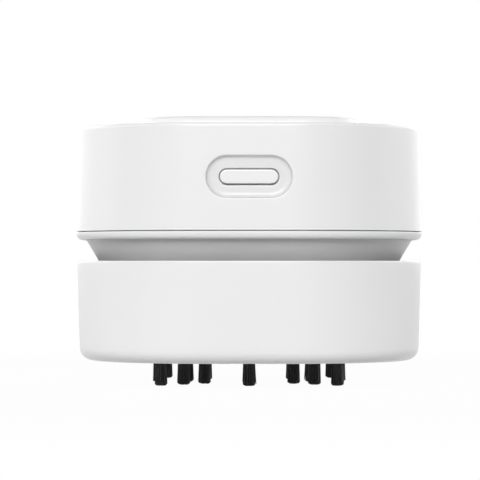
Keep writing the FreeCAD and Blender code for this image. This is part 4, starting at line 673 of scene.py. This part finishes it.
def mark_painted_recess_shade(mesh):
    """Store on each point how deep it lies in the recess: 0 on the wall and 1 on the floor. The hood's
    material darkens the recess floor by it, as painted shade.
    """
    place = np.empty(3 * len(mesh.vertices))
    mesh.vertices.foreach_get("co", place)
    x, y, z = place.reshape(-1, 3).T / MM
    deep = (wall_depth(x, z) + y) / RECESS_DEPTH
    near = (y < 0) & (np.abs(x) < RECESS_SIZE[0]) & (np.abs(z - KEY_LEVEL) < RECESS_SIZE[1])
    share = np.where(near, np.clip(deep, 0, 1), 0)
    store(mesh, "recess_painted_shade", share)
    print("recess points", int((share > 0.5).sum()))


mark_painted_recess_shade(hood.data)

# %% [markdown]
# The low cap on the roof is a soft-edged pillow: a flat top, a round of 2 mm and a short side that
# drops into its seat. The pole in the middle closes when doubled points are merged.
# %% Cap on the roof
CAP_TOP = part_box("top_cap")[1].z / MM
CAP_ROUND = 2.0
cap_inner = CAP_HALF - CAP_ROUND
cap_rows = (
    share_rows(row(0, CAP_TOP, 0), row(cap_inner, CAP_TOP, CAP_CORNER - CAP_ROUND), [0, 0.35, 0.7, 0.93])
    + arc_rows(cap_inner, CAP_TOP - CAP_ROUND, CAP_ROUND, 90, 0, 12, corner=CAP_CORNER - CAP_ROUND)
    + [row(CAP_HALF, CAP_SEAT + 0.5, CAP_CORNER), row(CAP_HALF, CAP_SEAT + 0.06, CAP_CORNER)]
    + share_rows(row(CAP_HALF - 0.1, CAP_SEAT + 0.02, CAP_CORNER - 0.1), row(0, CAP_SEAT + 0.02, 0),
                 [0, 0.3, 0.7, 1])
)
cap = ring_piece("roof_cap", cap_rows, ["top_cap"], "motor_head")

# %% [markdown]
# The key is a pill with a crisp small round. Its rings run from the middle of the face outwards,
# back along the side, and over the wider collar that stops it behind the panel.
# %% Power key
KEY_FACE = -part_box("power_button")[0].y / MM
KEY_BACK = -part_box("power_button")[1].y / MM
KEY_ROUND = 0.35
COLLAR = 1.3


def pill_body(rings, level, samples):
    """Rings of (distance from the middle plane, half width, half height), joined front to back."""
    turn = np.linspace(0, 2 * math.pi, samples, endpoint=False)
    layers = []
    for depth, half_width, half_height in rings:
        if half_width == 0:
            x, z = np.zeros(samples), np.full(samples, level)
        else:
            x, z = pill_ring(turn, (half_width, half_height), level)
        layers.append(np.stack([x, np.full(samples, -depth), z], axis=-1))
    return np.array(layers) * MM, grid_faces(len(rings), samples)


turn = np.radians(np.linspace(0, 90, 6))
key_layers = [(KEY_FACE, 0, 0), (KEY_FACE, 3.5, 0.7), (KEY_FACE, 6.2, 1.25)]
key_layers += [(KEY_FACE - KEY_ROUND + KEY_ROUND * math.cos(t),
                *grown(KEY_SIZE, KEY_ROUND * math.sin(t) - KEY_ROUND)) for t in turn]
key_layers += [(KEY_BACK + 1.0, *KEY_SIZE), (KEY_BACK + 1.0, *grown(KEY_SIZE, COLLAR)),
               (KEY_BACK, *grown(KEY_SIZE, COLLAR)), (KEY_BACK, 0, 0)]
points, faces = pill_body(key_layers, KEY_LEVEL, 160)
key = make_piece("power_key_skin", points, faces, ["power_button"], "power_key")

# %% [markdown]
# Each tuft is a bundle of black nylon bristles, folded over a staple and pressed into its hole. The
# strands leave the hole close together, spread a little, and their ends are cut but not level.
# All strands of a ring are one array: a slightly bent centre line, carried by a small tube. Where
# they start is a sunflower pattern, which fills a disc evenly, and a seeded draw bends them.
# %% Bristle tufts
STRANDS = 120
STRAND_RADIUS = 0.12
STRAND_SIDES = 5
STRAND_STEPS = 6
STRAND_SHARP = math.radians(75)
TINT_SEED = 99
ROOT_RADIUS = 1.3
SPREAD_LOW, SPREAD_HIGH = 0.16, 0.3
BOW = 0.045
RIM_RISE, UNEVEN = 0.5, 0.14
TIP_SHARE = 0.86
ROOT_LEVEL = PLATE_LOW + 0.9


def strand_paths(centre, seed):
    """Centre lines of one tuft: a root in the hole, a tip further out, and a small bow between.

    The root of strand k lies at radius sqrt(k / n) and angle k times the golden angle. The line
    is root + s * spread + s * s * bow, with s from 0 at the root to 1 at the tip. Strands at the
    rim of the bundle end a little higher, by the sixth power of their share of its radius.
    """
    draw = np.random.default_rng(seed)
    number = np.arange(STRANDS) + 0.5
    share = np.sqrt(number / STRANDS)
    angle = number * math.pi * (3 - math.sqrt(5)) + draw.uniform(0, 6.28)
    direction = np.stack([np.cos(angle), np.sin(angle)], axis=-1)
    root = direction * (share * ROOT_RADIUS)[:, None]
    spread = direction * (share * draw.uniform(SPREAD_LOW, SPREAD_HIGH, STRANDS))[:, None]
    bow = draw.normal(0, BOW, (STRANDS, 2))
    tip_level = RIM_RISE * share ** 6 + draw.uniform(0.0, UNEVEN, STRANDS)
    along = np.linspace(0, 1, STRAND_STEPS + 1)
    plan = (root[:, None] + along[None, :, None] * spread[:, None]
            + (along ** 2)[None, :, None] * bow[:, None]) + np.array(centre)
    level = ROOT_LEVEL + (tip_level - ROOT_LEVEL)[:, None] * along[None, :]
    return np.concatenate([plan, level[..., None]], axis=-1)


def tube_points(paths):
    """A ring of points about each place of each path, level with the floor, thinner at the tip."""
    turn = np.linspace(0, 2 * math.pi, STRAND_SIDES, endpoint=False)
    taper = np.linspace(1, TIP_SHARE, paths.shape[1])
    ring = np.stack([np.cos(turn), np.sin(turn), np.zeros(STRAND_SIDES)], axis=-1) * STRAND_RADIUS
    return paths[:, :, None, :] + taper[None, :, None, None] * ring[None, None]


def tuft_piece(name, centres, node, seed):
    """All tufts of one node as one mesh, with a random number for each strand to tint it by."""
    tubes = np.concatenate([tube_points(strand_paths(centre, seed + place))
                            for place, centre in enumerate(centres)]) * MM
    count, steps, sides, _ = tubes.shape
    index = np.arange(count * steps * sides).reshape(count, steps, sides)
    ahead = np.roll(index, -1, axis=2)
    walls = np.stack([index[:, 1:], ahead[:, 1:], ahead[:, :-1], index[:, :-1]], axis=-1).reshape(-1, 4)
    caps = index[:, -1, ::-1].tolist() + index[:, 0].tolist()
    mesh = raw_mesh(name, tubes, walls.tolist() + caps)
    smooth(mesh, STRAND_SHARP)
    draw = np.random.default_rng(seed + TINT_SEED).uniform(0, 1, count)
    store(mesh, "strand_tint", np.repeat(draw, steps * sides))
    piece = put(name, mesh)
    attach(piece, "dust_base")
    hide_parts(node)
    print(name, len(centres), "tufts", len(mesh.polygons), "faces")
    return piece


INNER_RING, OUTER_RING, CORNER_PLACE = 15.3, 22.3, 21.1
eighths = [place * math.pi / 4 for place in range(8)]
inner_centres = [(INNER_RING * math.cos(a), INNER_RING * math.sin(a)) for a in eighths]
outer_centres = [(OUTER_RING * math.cos(a), OUTER_RING * math.sin(a)) for a in eighths]
corner_centres = [(CORNER_PLACE * x, CORNER_PLACE * y) for x, y in ((1, 1), (-1, 1), (-1, -1), (1, -1))]
bristles = [tuft_piece("inner_bristles", inner_centres, "inner_tufts", 11),
            tuft_piece("outer_bristles", outer_centres, "outer_tufts", 37),
            tuft_piece("corner_bristles", corner_centres, "corner_tufts", 71)]

# %% [markdown]
# The filter shows when the head is lifted. Its sheet is folded, so it is a wave carried from front
# to back, cut to the frame's outline: the points of each fold line are moved along the fold until
# they lie on the outline, which keeps the wave whole at the round corners.
# %% Filter sheet
SHEET_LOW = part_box("filter_sheet")[0].z / MM
SHEET_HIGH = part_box("filter_sheet")[1].z / MM
FOLD_PITCH = 4.2
CREST = 2.2
SHEET_GRID = (420, 41)
SHEET_THICK = 0.35
sheet_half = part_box("filter_sheet")[1].y / MM


def folded_sheet(columns_across, rows_along):
    """Height is a rounded wave of the place across: tanh of a cosine flattens its crests."""
    limit = sheet_half - 0.02
    across = np.linspace(-limit, limit, columns_across)
    wave = np.tanh(CREST * np.cos(2 * math.pi * across / FOLD_PITCH)) / math.tanh(CREST)
    middle = (SHEET_LOW + SHEET_HIGH - SHEET_THICK) / 2
    swing = (SHEET_HIGH - SHEET_LOW - SHEET_THICK) / 2
    corner = sheet_half - STRAIGHT / MM
    beyond = np.maximum(np.abs(across) - STRAIGHT / MM, 0)
    length = STRAIGHT / MM + np.sqrt(np.maximum(corner ** 2 - beyond ** 2, 0.01))
    along = np.linspace(-1, 1, rows_along)
    grid = np.empty((rows_along, columns_across, 3))
    grid[..., 0] = across
    grid[..., 1] = along[:, None] * length
    grid[..., 2] = middle + swing * wave
    return grid


top = folded_sheet(*SHEET_GRID)
low = top.copy()
top[..., 2] += SHEET_THICK
rows_along, across = top.shape[:2]
index = np.arange(rows_along * across).reshape(rows_along, across)
quads = np.stack([index[:-1, :-1], index[:-1, 1:], index[1:, 1:], index[1:, :-1]], axis=-1).reshape(-1, 4)
rim = np.concatenate([index[0], index[1:-1, -1], index[-1, ::-1], index[-2:0:-1, 0]])
shift = rows_along * across
faces = np.concatenate([quads, quads[:, ::-1] + shift, strip_faces(rim, rim + shift)])
points = np.concatenate([top.reshape(-1, 3), low.reshape(-1, 3)]) * MM
sheet = make_piece("filter_folds", points, faces, ["filter_sheet"], "filter_insert")

# %% [markdown]
# Frame and sealing ring are simple layered rings. The frame has two crossed bars under the sheet,
# and the sealing ring has two soft lips.
# %% Filter frame and sealing ring
FRAME_LOW, FRAME_HIGH = (corner.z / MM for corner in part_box("filter_frame"))
FRAME_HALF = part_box("filter_frame")[1].x / MM
FRAME_RIM = 4.6
frame_rows = (
    arc_rows(FRAME_HALF - 0.5, FRAME_HIGH - 0.5, 0.5, 90, 0, 4)
    + arc_rows(FRAME_HALF - 0.3, FRAME_LOW + 0.3, 0.3, 0, -90, 3)
    + arc_rows(FRAME_HALF - FRAME_RIM + 0.3, FRAME_LOW + 0.3, 0.3, 270, 180, 3)
    + arc_rows(FRAME_HALF - FRAME_RIM + 0.5, FRAME_HIGH - 0.5, 0.5, 180, 90, 4)
)
frame_rows.append(frame_rows[0])
frame_ring = ring_piece("filter_rim", frame_rows, [], "filter_insert")
BAR_HEIGHT, BAR_HALF, BAR_EDGE = 0.9, 0.9, 0.15
bar_reach = FRAME_HALF - FRAME_RIM + 0.5
corners = np.array([[-1, -1, 0], [1, -1, 0], [1, 1, 0], [-1, 1, 0],
                    [-1, -1, 1], [1, -1, 1], [1, 1, 1], [-1, 1, 1]], float)
sides = [[0, 3, 2, 1], [4, 5, 6, 7], [0, 1, 5, 4], [1, 2, 6, 5], [2, 3, 7, 6], [3, 0, 4, 7]]
bars = []
for lengths in ((bar_reach, BAR_HALF), (BAR_HALF, bar_reach)):
    bar = corners * np.array([*lengths, BAR_HEIGHT - (0.02 if lengths[0] == BAR_HALF else 0)])
    bars.append(bar + np.array([0, 0, FRAME_LOW + 0.01]))
points = np.concatenate(bars) * MM
faces = np.concatenate([np.array(sides), np.array(sides) + 8])
crossbars = make_piece("filter_bars", points, faces, ["filter_frame"], "filter_insert")
bevel = crossbars.modifiers.new("soft_edges", "BEVEL")
bevel.width = BAR_EDGE * MM
bevel.segments = 2
SEAL_LOW, SEAL_HIGH = (corner.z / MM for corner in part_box("box_seal"))
SEAL_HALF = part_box("box_seal")[1].x / MM
seal_inner = SPIGOT_HALF - (GROOVE_DEPTH - 0.01)
quarter_height = (SEAL_HIGH - SEAL_LOW) / 4
seal_rows = (
    [row(seal_inner, SEAL_HIGH)]
    + arc_rows(SEAL_HALF - quarter_height, SEAL_HIGH - quarter_height, quarter_height, 90, -80, 7)
    + arc_rows(SEAL_HALF - quarter_height, SEAL_LOW + quarter_height, quarter_height, 80, -90, 7)
    + [row(seal_inner, SEAL_LOW), row(seal_inner, SEAL_HIGH)]
)
seal = ring_piece("sealing_ring", seal_rows, ["box_seal"], "motor_head")

# %% [markdown]
# Materials. The case is satin ABS: nearly neutral white, a soft reflection, and a surface so fine
# that only a trace of orange peel breaks the highlight. Colour, gloss and bump each come from
# noise on Object coordinates, at real sizes: one unit is a metre, so a grain of a quarter of a
# millimetre needs a scale of about four thousand.
# %% Material helpers
def add(tree, kind, inputs=None, **settings):
    """Add a node. An input takes a value or another node's socket, and settings are properties."""
    node = tree.nodes.new("ShaderNode" + kind)
    for name, value in settings.items():
        setattr(node, name, value)
    for name, value in (inputs or {}).items():
        if isinstance(value, bpy.types.NodeSocket):
            tree.links.new(value, node.inputs[name])
        else:
            node.inputs[name].default_value = value
    return node


def new_material(name):
    """An empty node tree, and the socket that gives places on the object."""
    material = bpy.data.materials.new(name)
    material.use_nodes = True
    tree = material.node_tree
    tree.nodes.clear()
    return material, tree, add(tree, "TexCoord").outputs["Object"]


def surface(tree, inputs):
    """A Principled shader with its inputs, wired to the output."""
    shader = add(tree, "BsdfPrincipled", inputs)
    add(tree, "OutputMaterial", {"Surface": shader.outputs["BSDF"]})


def noise(tree, place, scale, detail=2.0, stretch=None):
    """Smooth noise at a scale, if asked stretched along the axes first."""
    if stretch:
        place = add(tree, "Mapping", {"Scale": stretch, "Vector": place}).outputs["Vector"]
    return add(tree, "TexNoise", {"Scale": scale, "Detail": detail, "Vector": place}).outputs["Fac"]


def ranged(tree, value, low, high, start=0.0, end=1.0, curve="LINEAR"):
    """Spread a value between start and end over another range."""
    inputs = {"Value": value, "From Min": start, "From Max": end, "To Min": low, "To Max": high}
    return add(tree, "MapRange", inputs, interpolation_type=curve).outputs["Result"]


def mixed(tree, factor, first, second):
    """Mix two colours by a value. The first may come from another node."""
    first = first if isinstance(first, bpy.types.NodeSocket) else (*first, 1.0)
    inputs = {"Factor": factor, "A": first, "B": (*second, 1.0)}
    return add(tree, "Mix", inputs, data_type="RGBA").outputs["Result"]


def bump(tree, height, strength, distance):
    """Normals of a surface that a height value raises, with the distance in metres."""
    inputs = {"Height": height, "Strength": strength, "Distance": distance}
    return add(tree, "Bump", inputs).outputs["Normal"]


DRIFT_SCALE, PATCH_SCALE = 38.0, 140.0
GLOSS_SWING = 0.04
GRAIN_HEIGHT = 0.00001


def moulded(name, colour, roughness, grain, grain_strength, drift=0.012, marked=None):
    """Moulded plastic: colour drifts slowly, gloss varies in patches, and a fine grain lies on it.

    marked names an attribute of the points and the colour painted where it is 1; the hood uses it for
    painted shade on its recess floor.
    """
    material, tree, place = new_material(name)
    darker = tuple(max(c - drift, 0.0) for c in colour)
    shade = mixed(tree, noise(tree, place, DRIFT_SCALE, 3.0), darker, colour)
    if marked:
        mark = add(tree, "Attribute", attribute_name=marked[0])
        shade = mixed(tree, mark.outputs["Fac"], shade, marked[1])
    patches = noise(tree, place, PATCH_SCALE, 4.0)
    surface(tree, {"Base Color": shade,
                   "Roughness": ranged(tree, patches, roughness - GLOSS_SWING, roughness + GLOSS_SWING),
                   "Normal": bump(tree, noise(tree, place, grain), grain_strength, GRAIN_HEIGHT)})
    return material


print("material helpers ready")

# %% [markdown]
# The finishes in use. White shell, cap and key differ in gloss and a little in lightness, and the
# recess round the key has a darker floor, which is painted shade. The neck is a light grey with a fine
# spark-eroded texture, which scatters light more than the polished case.
# %% Plastics
white_shell = moulded("satin_white_plastic", (0.85, 0.85, 0.852), 0.32, 3200.0, 0.1, drift=0.006)
# The hood's recess floor colour is painted shade: darker where the recess is deeper.
white_hood = moulded("satin_white_hood", (0.85, 0.85, 0.852), 0.32, 3200.0, 0.1, drift=0.006,
                     marked=("recess_painted_shade", (0.76, 0.76, 0.762)))
white_cap = moulded("soft_white_plastic", (0.87, 0.87, 0.872), 0.36, 3200.0, 0.1, drift=0.006)
white_key = moulded("polished_white_plastic", (0.9, 0.9, 0.9), 0.2, 2600.0, 0.02)
white_under = moulded("matt_white_plastic", (0.82, 0.82, 0.822), 0.45, 2200.0, 0.09)
grey_neck = moulded("light_grey_plastic", (0.6, 0.6, 0.602), 0.4, 2400.0, 0.12)
frame_grey = moulded("filter_grey_plastic", (0.45, 0.46, 0.48), 0.42, 2400.0, 0.08)
black_plastic = moulded("black_plastic", (0.03, 0.03, 0.032), 0.42, 2400.0, 0.1, drift=0.004)
fan_plastic = moulded("fan_plastic", (0.07, 0.07, 0.078), 0.34, 2000.0, 0.06, drift=0.006)
rubber = moulded("soft_rubber", (0.05, 0.05, 0.053), 0.62, 1800.0, 0.15, drift=0.006)
print("plastics ready")

# %% [markdown]
# Nylon bristle is smooth and glossy. Every strand has its own shade and gloss, from the number
# stored on its points, so a tuft reads as a bundle and not as one block.
# %% Bristle nylon
def bristle_nylon():
    """Near-black, tinted strand by strand, with a faint mottling along each strand."""
    material, tree, place = new_material("black_bristle_nylon")
    tint = add(tree, "Attribute", attribute_name="strand_tint").outputs["Fac"]
    ripple = noise(tree, place, 5200.0, 2.0, (1, 1, 0.3))
    surface(tree, {"Base Color": mixed(tree, tint, (0.006, 0.006, 0.007), (0.035, 0.035, 0.038)),
                   "Roughness": ranged(tree, tint, 0.26, 0.46),
                   "Normal": bump(tree, ripple, 0.12, 0.00002)})
    return material


nylon = bristle_nylon()
print("nylon ready")

# %% [markdown]
# The filter sheet is bonded fibre: two crossed, stretched noises give matted threads, and the same
# threads raise the surface.
# %% Filter sheet
def bonded_fibre():
    """Off-white sheet with matted fibres running two ways."""
    material, tree, place = new_material("bonded_fibre")
    one, two = (noise(tree, place, 900.0, 4.0, way) for way in ((1.0, 9.0, 1.0), (9.0, 1.0, 1.0)))
    matted = add(tree, "Math", {0: one, 1: two}, operation="MAXIMUM").outputs[0]
    shade = mixed(tree, ranged(tree, matted, -0.6, 1.4), (0.62, 0.61, 0.58), (0.86, 0.86, 0.84))
    surface(tree, {"Base Color": shade, "Roughness": 0.9, "Sheen Weight": 0.25,
                   "Normal": bump(tree, matted, 0.5, 0.0001)})
    return material


fibre = bonded_fibre()
print("fibre ready")

# %% [markdown]
# Metals: the motor can is drawn steel with fine lines round it, screws are plain bright steel, the
# tabs are brass. Lines come from noise stretched along the direction of working.
# %% Metals
def worked_metal(name, colour, roughness, stretch, line_scale):
    """Metal with fine working lines that vary its gloss and height."""
    material, tree, place = new_material(name)
    lines = noise(tree, place, line_scale, 3.0, stretch)
    darker = tuple(c * 0.86 for c in colour)
    surface(tree, {"Base Color": mixed(tree, lines, darker, colour), "Metallic": 1.0,
                   "Roughness": ranged(tree, lines, roughness - 0.08, roughness + 0.1),
                   "Normal": bump(tree, lines, 0.15, 0.00002)})
    return material


drawn_steel = worked_metal("drawn_steel", (0.62, 0.62, 0.63), 0.32, (1.0, 1.0, 14.0), 500.0)
bright_steel = worked_metal("bright_steel", (0.66, 0.66, 0.67), 0.28, (1.0, 1.0, 6.0), 1500.0)
tinned_steel = worked_metal("tinned_steel", (0.7, 0.7, 0.71), 0.25, (1.0, 8.0, 1.0), 1200.0)
brass = worked_metal("stamped_brass", (0.78, 0.58, 0.26), 0.3, (8.0, 1.0, 1.0), 1400.0)
print("metals ready")

# %% [markdown]
# Board lacquer shows the copper lines under it as slightly lighter strips. A brick texture is close
# to the straight runs of a small board. The cell is a silver pouch that is a little uneven.
# %% Board and cell
def board_lacquer():
    """Green lacquer over straight copper runs."""
    material, tree, place = new_material("board_lacquer")
    upright = add(tree, "Mapping", {"Rotation": (math.pi / 2, 0, 0), "Vector": place})
    runs = add(tree, "TexBrick", {
        "Vector": upright.outputs["Vector"], "Scale": 260.0, "Mortar Size": 0.03,
        "Color1": (0.012, 0.11, 0.05, 1), "Color2": (0.016, 0.13, 0.06, 1), "Mortar": (0.05, 0.22, 0.1, 1)})
    surface(tree, {"Base Color": runs.outputs["Color"], "Roughness": 0.3,
                   "Normal": bump(tree, runs.outputs["Fac"], 0.3, 0.00005)})
    return material


lacquer = board_lacquer()
pouch = moulded("cell_pouch", (0.56, 0.57, 0.59), 0.28, 700.0, 0.12, drift=0.03)
print("board and cell ready")

# %% [markdown]
# Every visible surface gets its finish: the new pieces here, and the nodes that keep their own mesh
# by name.
# %% Give out the finishes
PIECE_FINISH = {
    dust_box: white_shell, tube: white_shell, filter_ribs: white_shell, neck: grey_neck, bezel: white_shell,
    hood: white_hood, cap: white_cap, key: white_key, sheet: fibre, frame_ring: frame_grey,
    crossbars: frame_grey, seal: rubber,
}
NODE_FINISH = {
    "brush_plate": white_under, "fan_inlet_plate": grey_neck, "impeller": fan_plastic,
    "motor_shaft": bright_steel, "motor_can": drawn_steel, "motor_end_cap": black_plastic,
    "motor_terminals": brass, "motor_damper": rubber, "motor_deck": grey_neck,
    "casing_screws": bright_steel, "motor_screws": bright_steel, "board_screws": bright_steel,
    "switch_body": black_plastic, "switch_plunger": black_plastic, "control_board": lacquer,
    "controller_chip": black_plastic, "battery_cell": pouch, "battery_cradle": black_plastic,
    "charge_board": lacquer, "usb_socket": tinned_steel,
}


def dress(thing, material):
    """Leave one material on an object."""
    thing.data.materials.clear()
    thing.data.materials.append(material)


for piece, material in PIECE_FINISH.items():
    dress(piece, material)
for piece in bristles:
    dress(piece, nylon)
for node, material in NODE_FINISH.items():
    dress(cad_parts[node], material)
print("dressed", len(PIECE_FINISH) + len(bristles), "pieces and", len(NODE_FINISH), "nodes")

# %% [markdown]
# The floor is a large pale disc. To the camera and to mirrors it is nearly white with only a trace
# of the object's shadow, as in a product picture. For all other light it is a pale card under the
# object on a darker table: the card throws light up under the bezel, and the table throws less.
# %% Floor
FLOOR_RADIUS, FLOOR_SIDES = 6.0, 96
CARD_SHADE, TABLE_SHADE = 0.61, 0.4
CARD_RADIUS, TABLE_RADIUS = 0.08, 0.15
CAMERA_SHARE = 0.97
SHADOW_RADIUS = 0.3


def floor_material():
    """Pale diffuse floor that the camera sees mostly as plain white, and wholly further off."""
    material, tree, place = new_material("pale_floor")
    distance = add(tree, "VectorMath", {0: place}, operation="LENGTH").outputs["Value"]
    shade = ranged(tree, distance, CARD_SHADE, TABLE_SHADE, CARD_RADIUS, TABLE_RADIUS, "SMOOTHSTEP")
    diffuse = add(tree, "BsdfDiffuse", {"Color": shade}).outputs["BSDF"]
    glow = add(tree, "Emission", {"Color": (1, 1, 1, 1)}).outputs["Emission"]
    path = add(tree, "LightPath").outputs
    seen = add(tree, "Math", {0: path["Is Camera Ray"], 1: path["Is Glossy Ray"]}, operation="MAXIMUM")
    plain = ranged(tree, distance, CAMERA_SHARE, 1.0, CARD_RADIUS, SHADOW_RADIUS, "SMOOTHSTEP")
    amount = add(tree, "Math", {0: seen.outputs[0], 1: plain}, operation="MULTIPLY")
    mix = add(tree, "MixShader", {"Fac": amount.outputs[0], 1: diffuse, 2: glow})
    add(tree, "OutputMaterial", {"Surface": mix.outputs["Shader"]})
    return material


turn = np.linspace(0, 2 * math.pi, FLOOR_SIDES, endpoint=False)
disc = np.stack([np.cos(turn) * FLOOR_RADIUS, np.sin(turn) * FLOOR_RADIUS, np.zeros(FLOOR_SIDES)], axis=-1)
floor = put("floor", raw_mesh("floor", disc, [list(range(FLOOR_SIDES))]))
dress(floor, floor_material())
print("floor radius", FLOOR_RADIUS, "m")

# %% [markdown]
# Light: a dim white room, which only the camera sees as pure white, a soft box in front and a
# little to the left, 28 degrees above the floor, and a wide screen at each side behind the object,
# which brightens the edges of the case. Between them the round corners show a soft darker band. A
# weak box overhead lights the roof.
# %% Room and lamps
ROOM_LIGHT = 0.06
AIM = (0, 0, 0.035)
world = bpy.data.worlds.new("room")
bpy.context.scene.world = world
world.use_nodes = True
tree = world.node_tree
tree.nodes.clear()
room, white = (add(tree, "Background", {"Color": (1, 1, 1, 1), "Strength": strength}).outputs["Background"]
               for strength in (ROOM_LIGHT, 1.0))
path = add(tree, "LightPath")
mix = add(tree, "MixShader", {"Fac": path.outputs["Is Camera Ray"], 1: room, 2: white})
add(tree, "OutputWorld", {"Surface": mix.outputs["Shader"]})


def soft_box(name, place, width, height, power):
    """A rectangular area lamp that faces the object: metres and watts."""
    lamp = bpy.data.lights.new(name, "AREA")
    lamp.shape = "RECTANGLE"
    lamp.size = width
    lamp.size_y = height
    lamp.energy = power
    thing = put(name, lamp)
    thing.location = place
    direction = np.array(AIM) - np.array(place)
    yaw = math.atan2(direction[1], direction[0]) - math.pi / 2
    pitch = math.pi / 2 + math.atan2(direction[2], math.hypot(direction[0], direction[1]))
    thing.rotation_euler = (pitch, 0, yaw)


soft_box("front_box", (-0.15, -1.15, 0.66), 0.7, 0.5, 14.6)
soft_box("left_screen", (-0.95, 0.7, 0.45), 2.2, 0.9, 12.5)
soft_box("right_screen", (0.95, 0.7, 0.45), 2.2, 0.9, 13.5)
soft_box("top_box", (0, 0.3, 1.2), 0.9, 0.9, 1.7)
bpy.context.scene.view_settings.view_transform = "Standard"
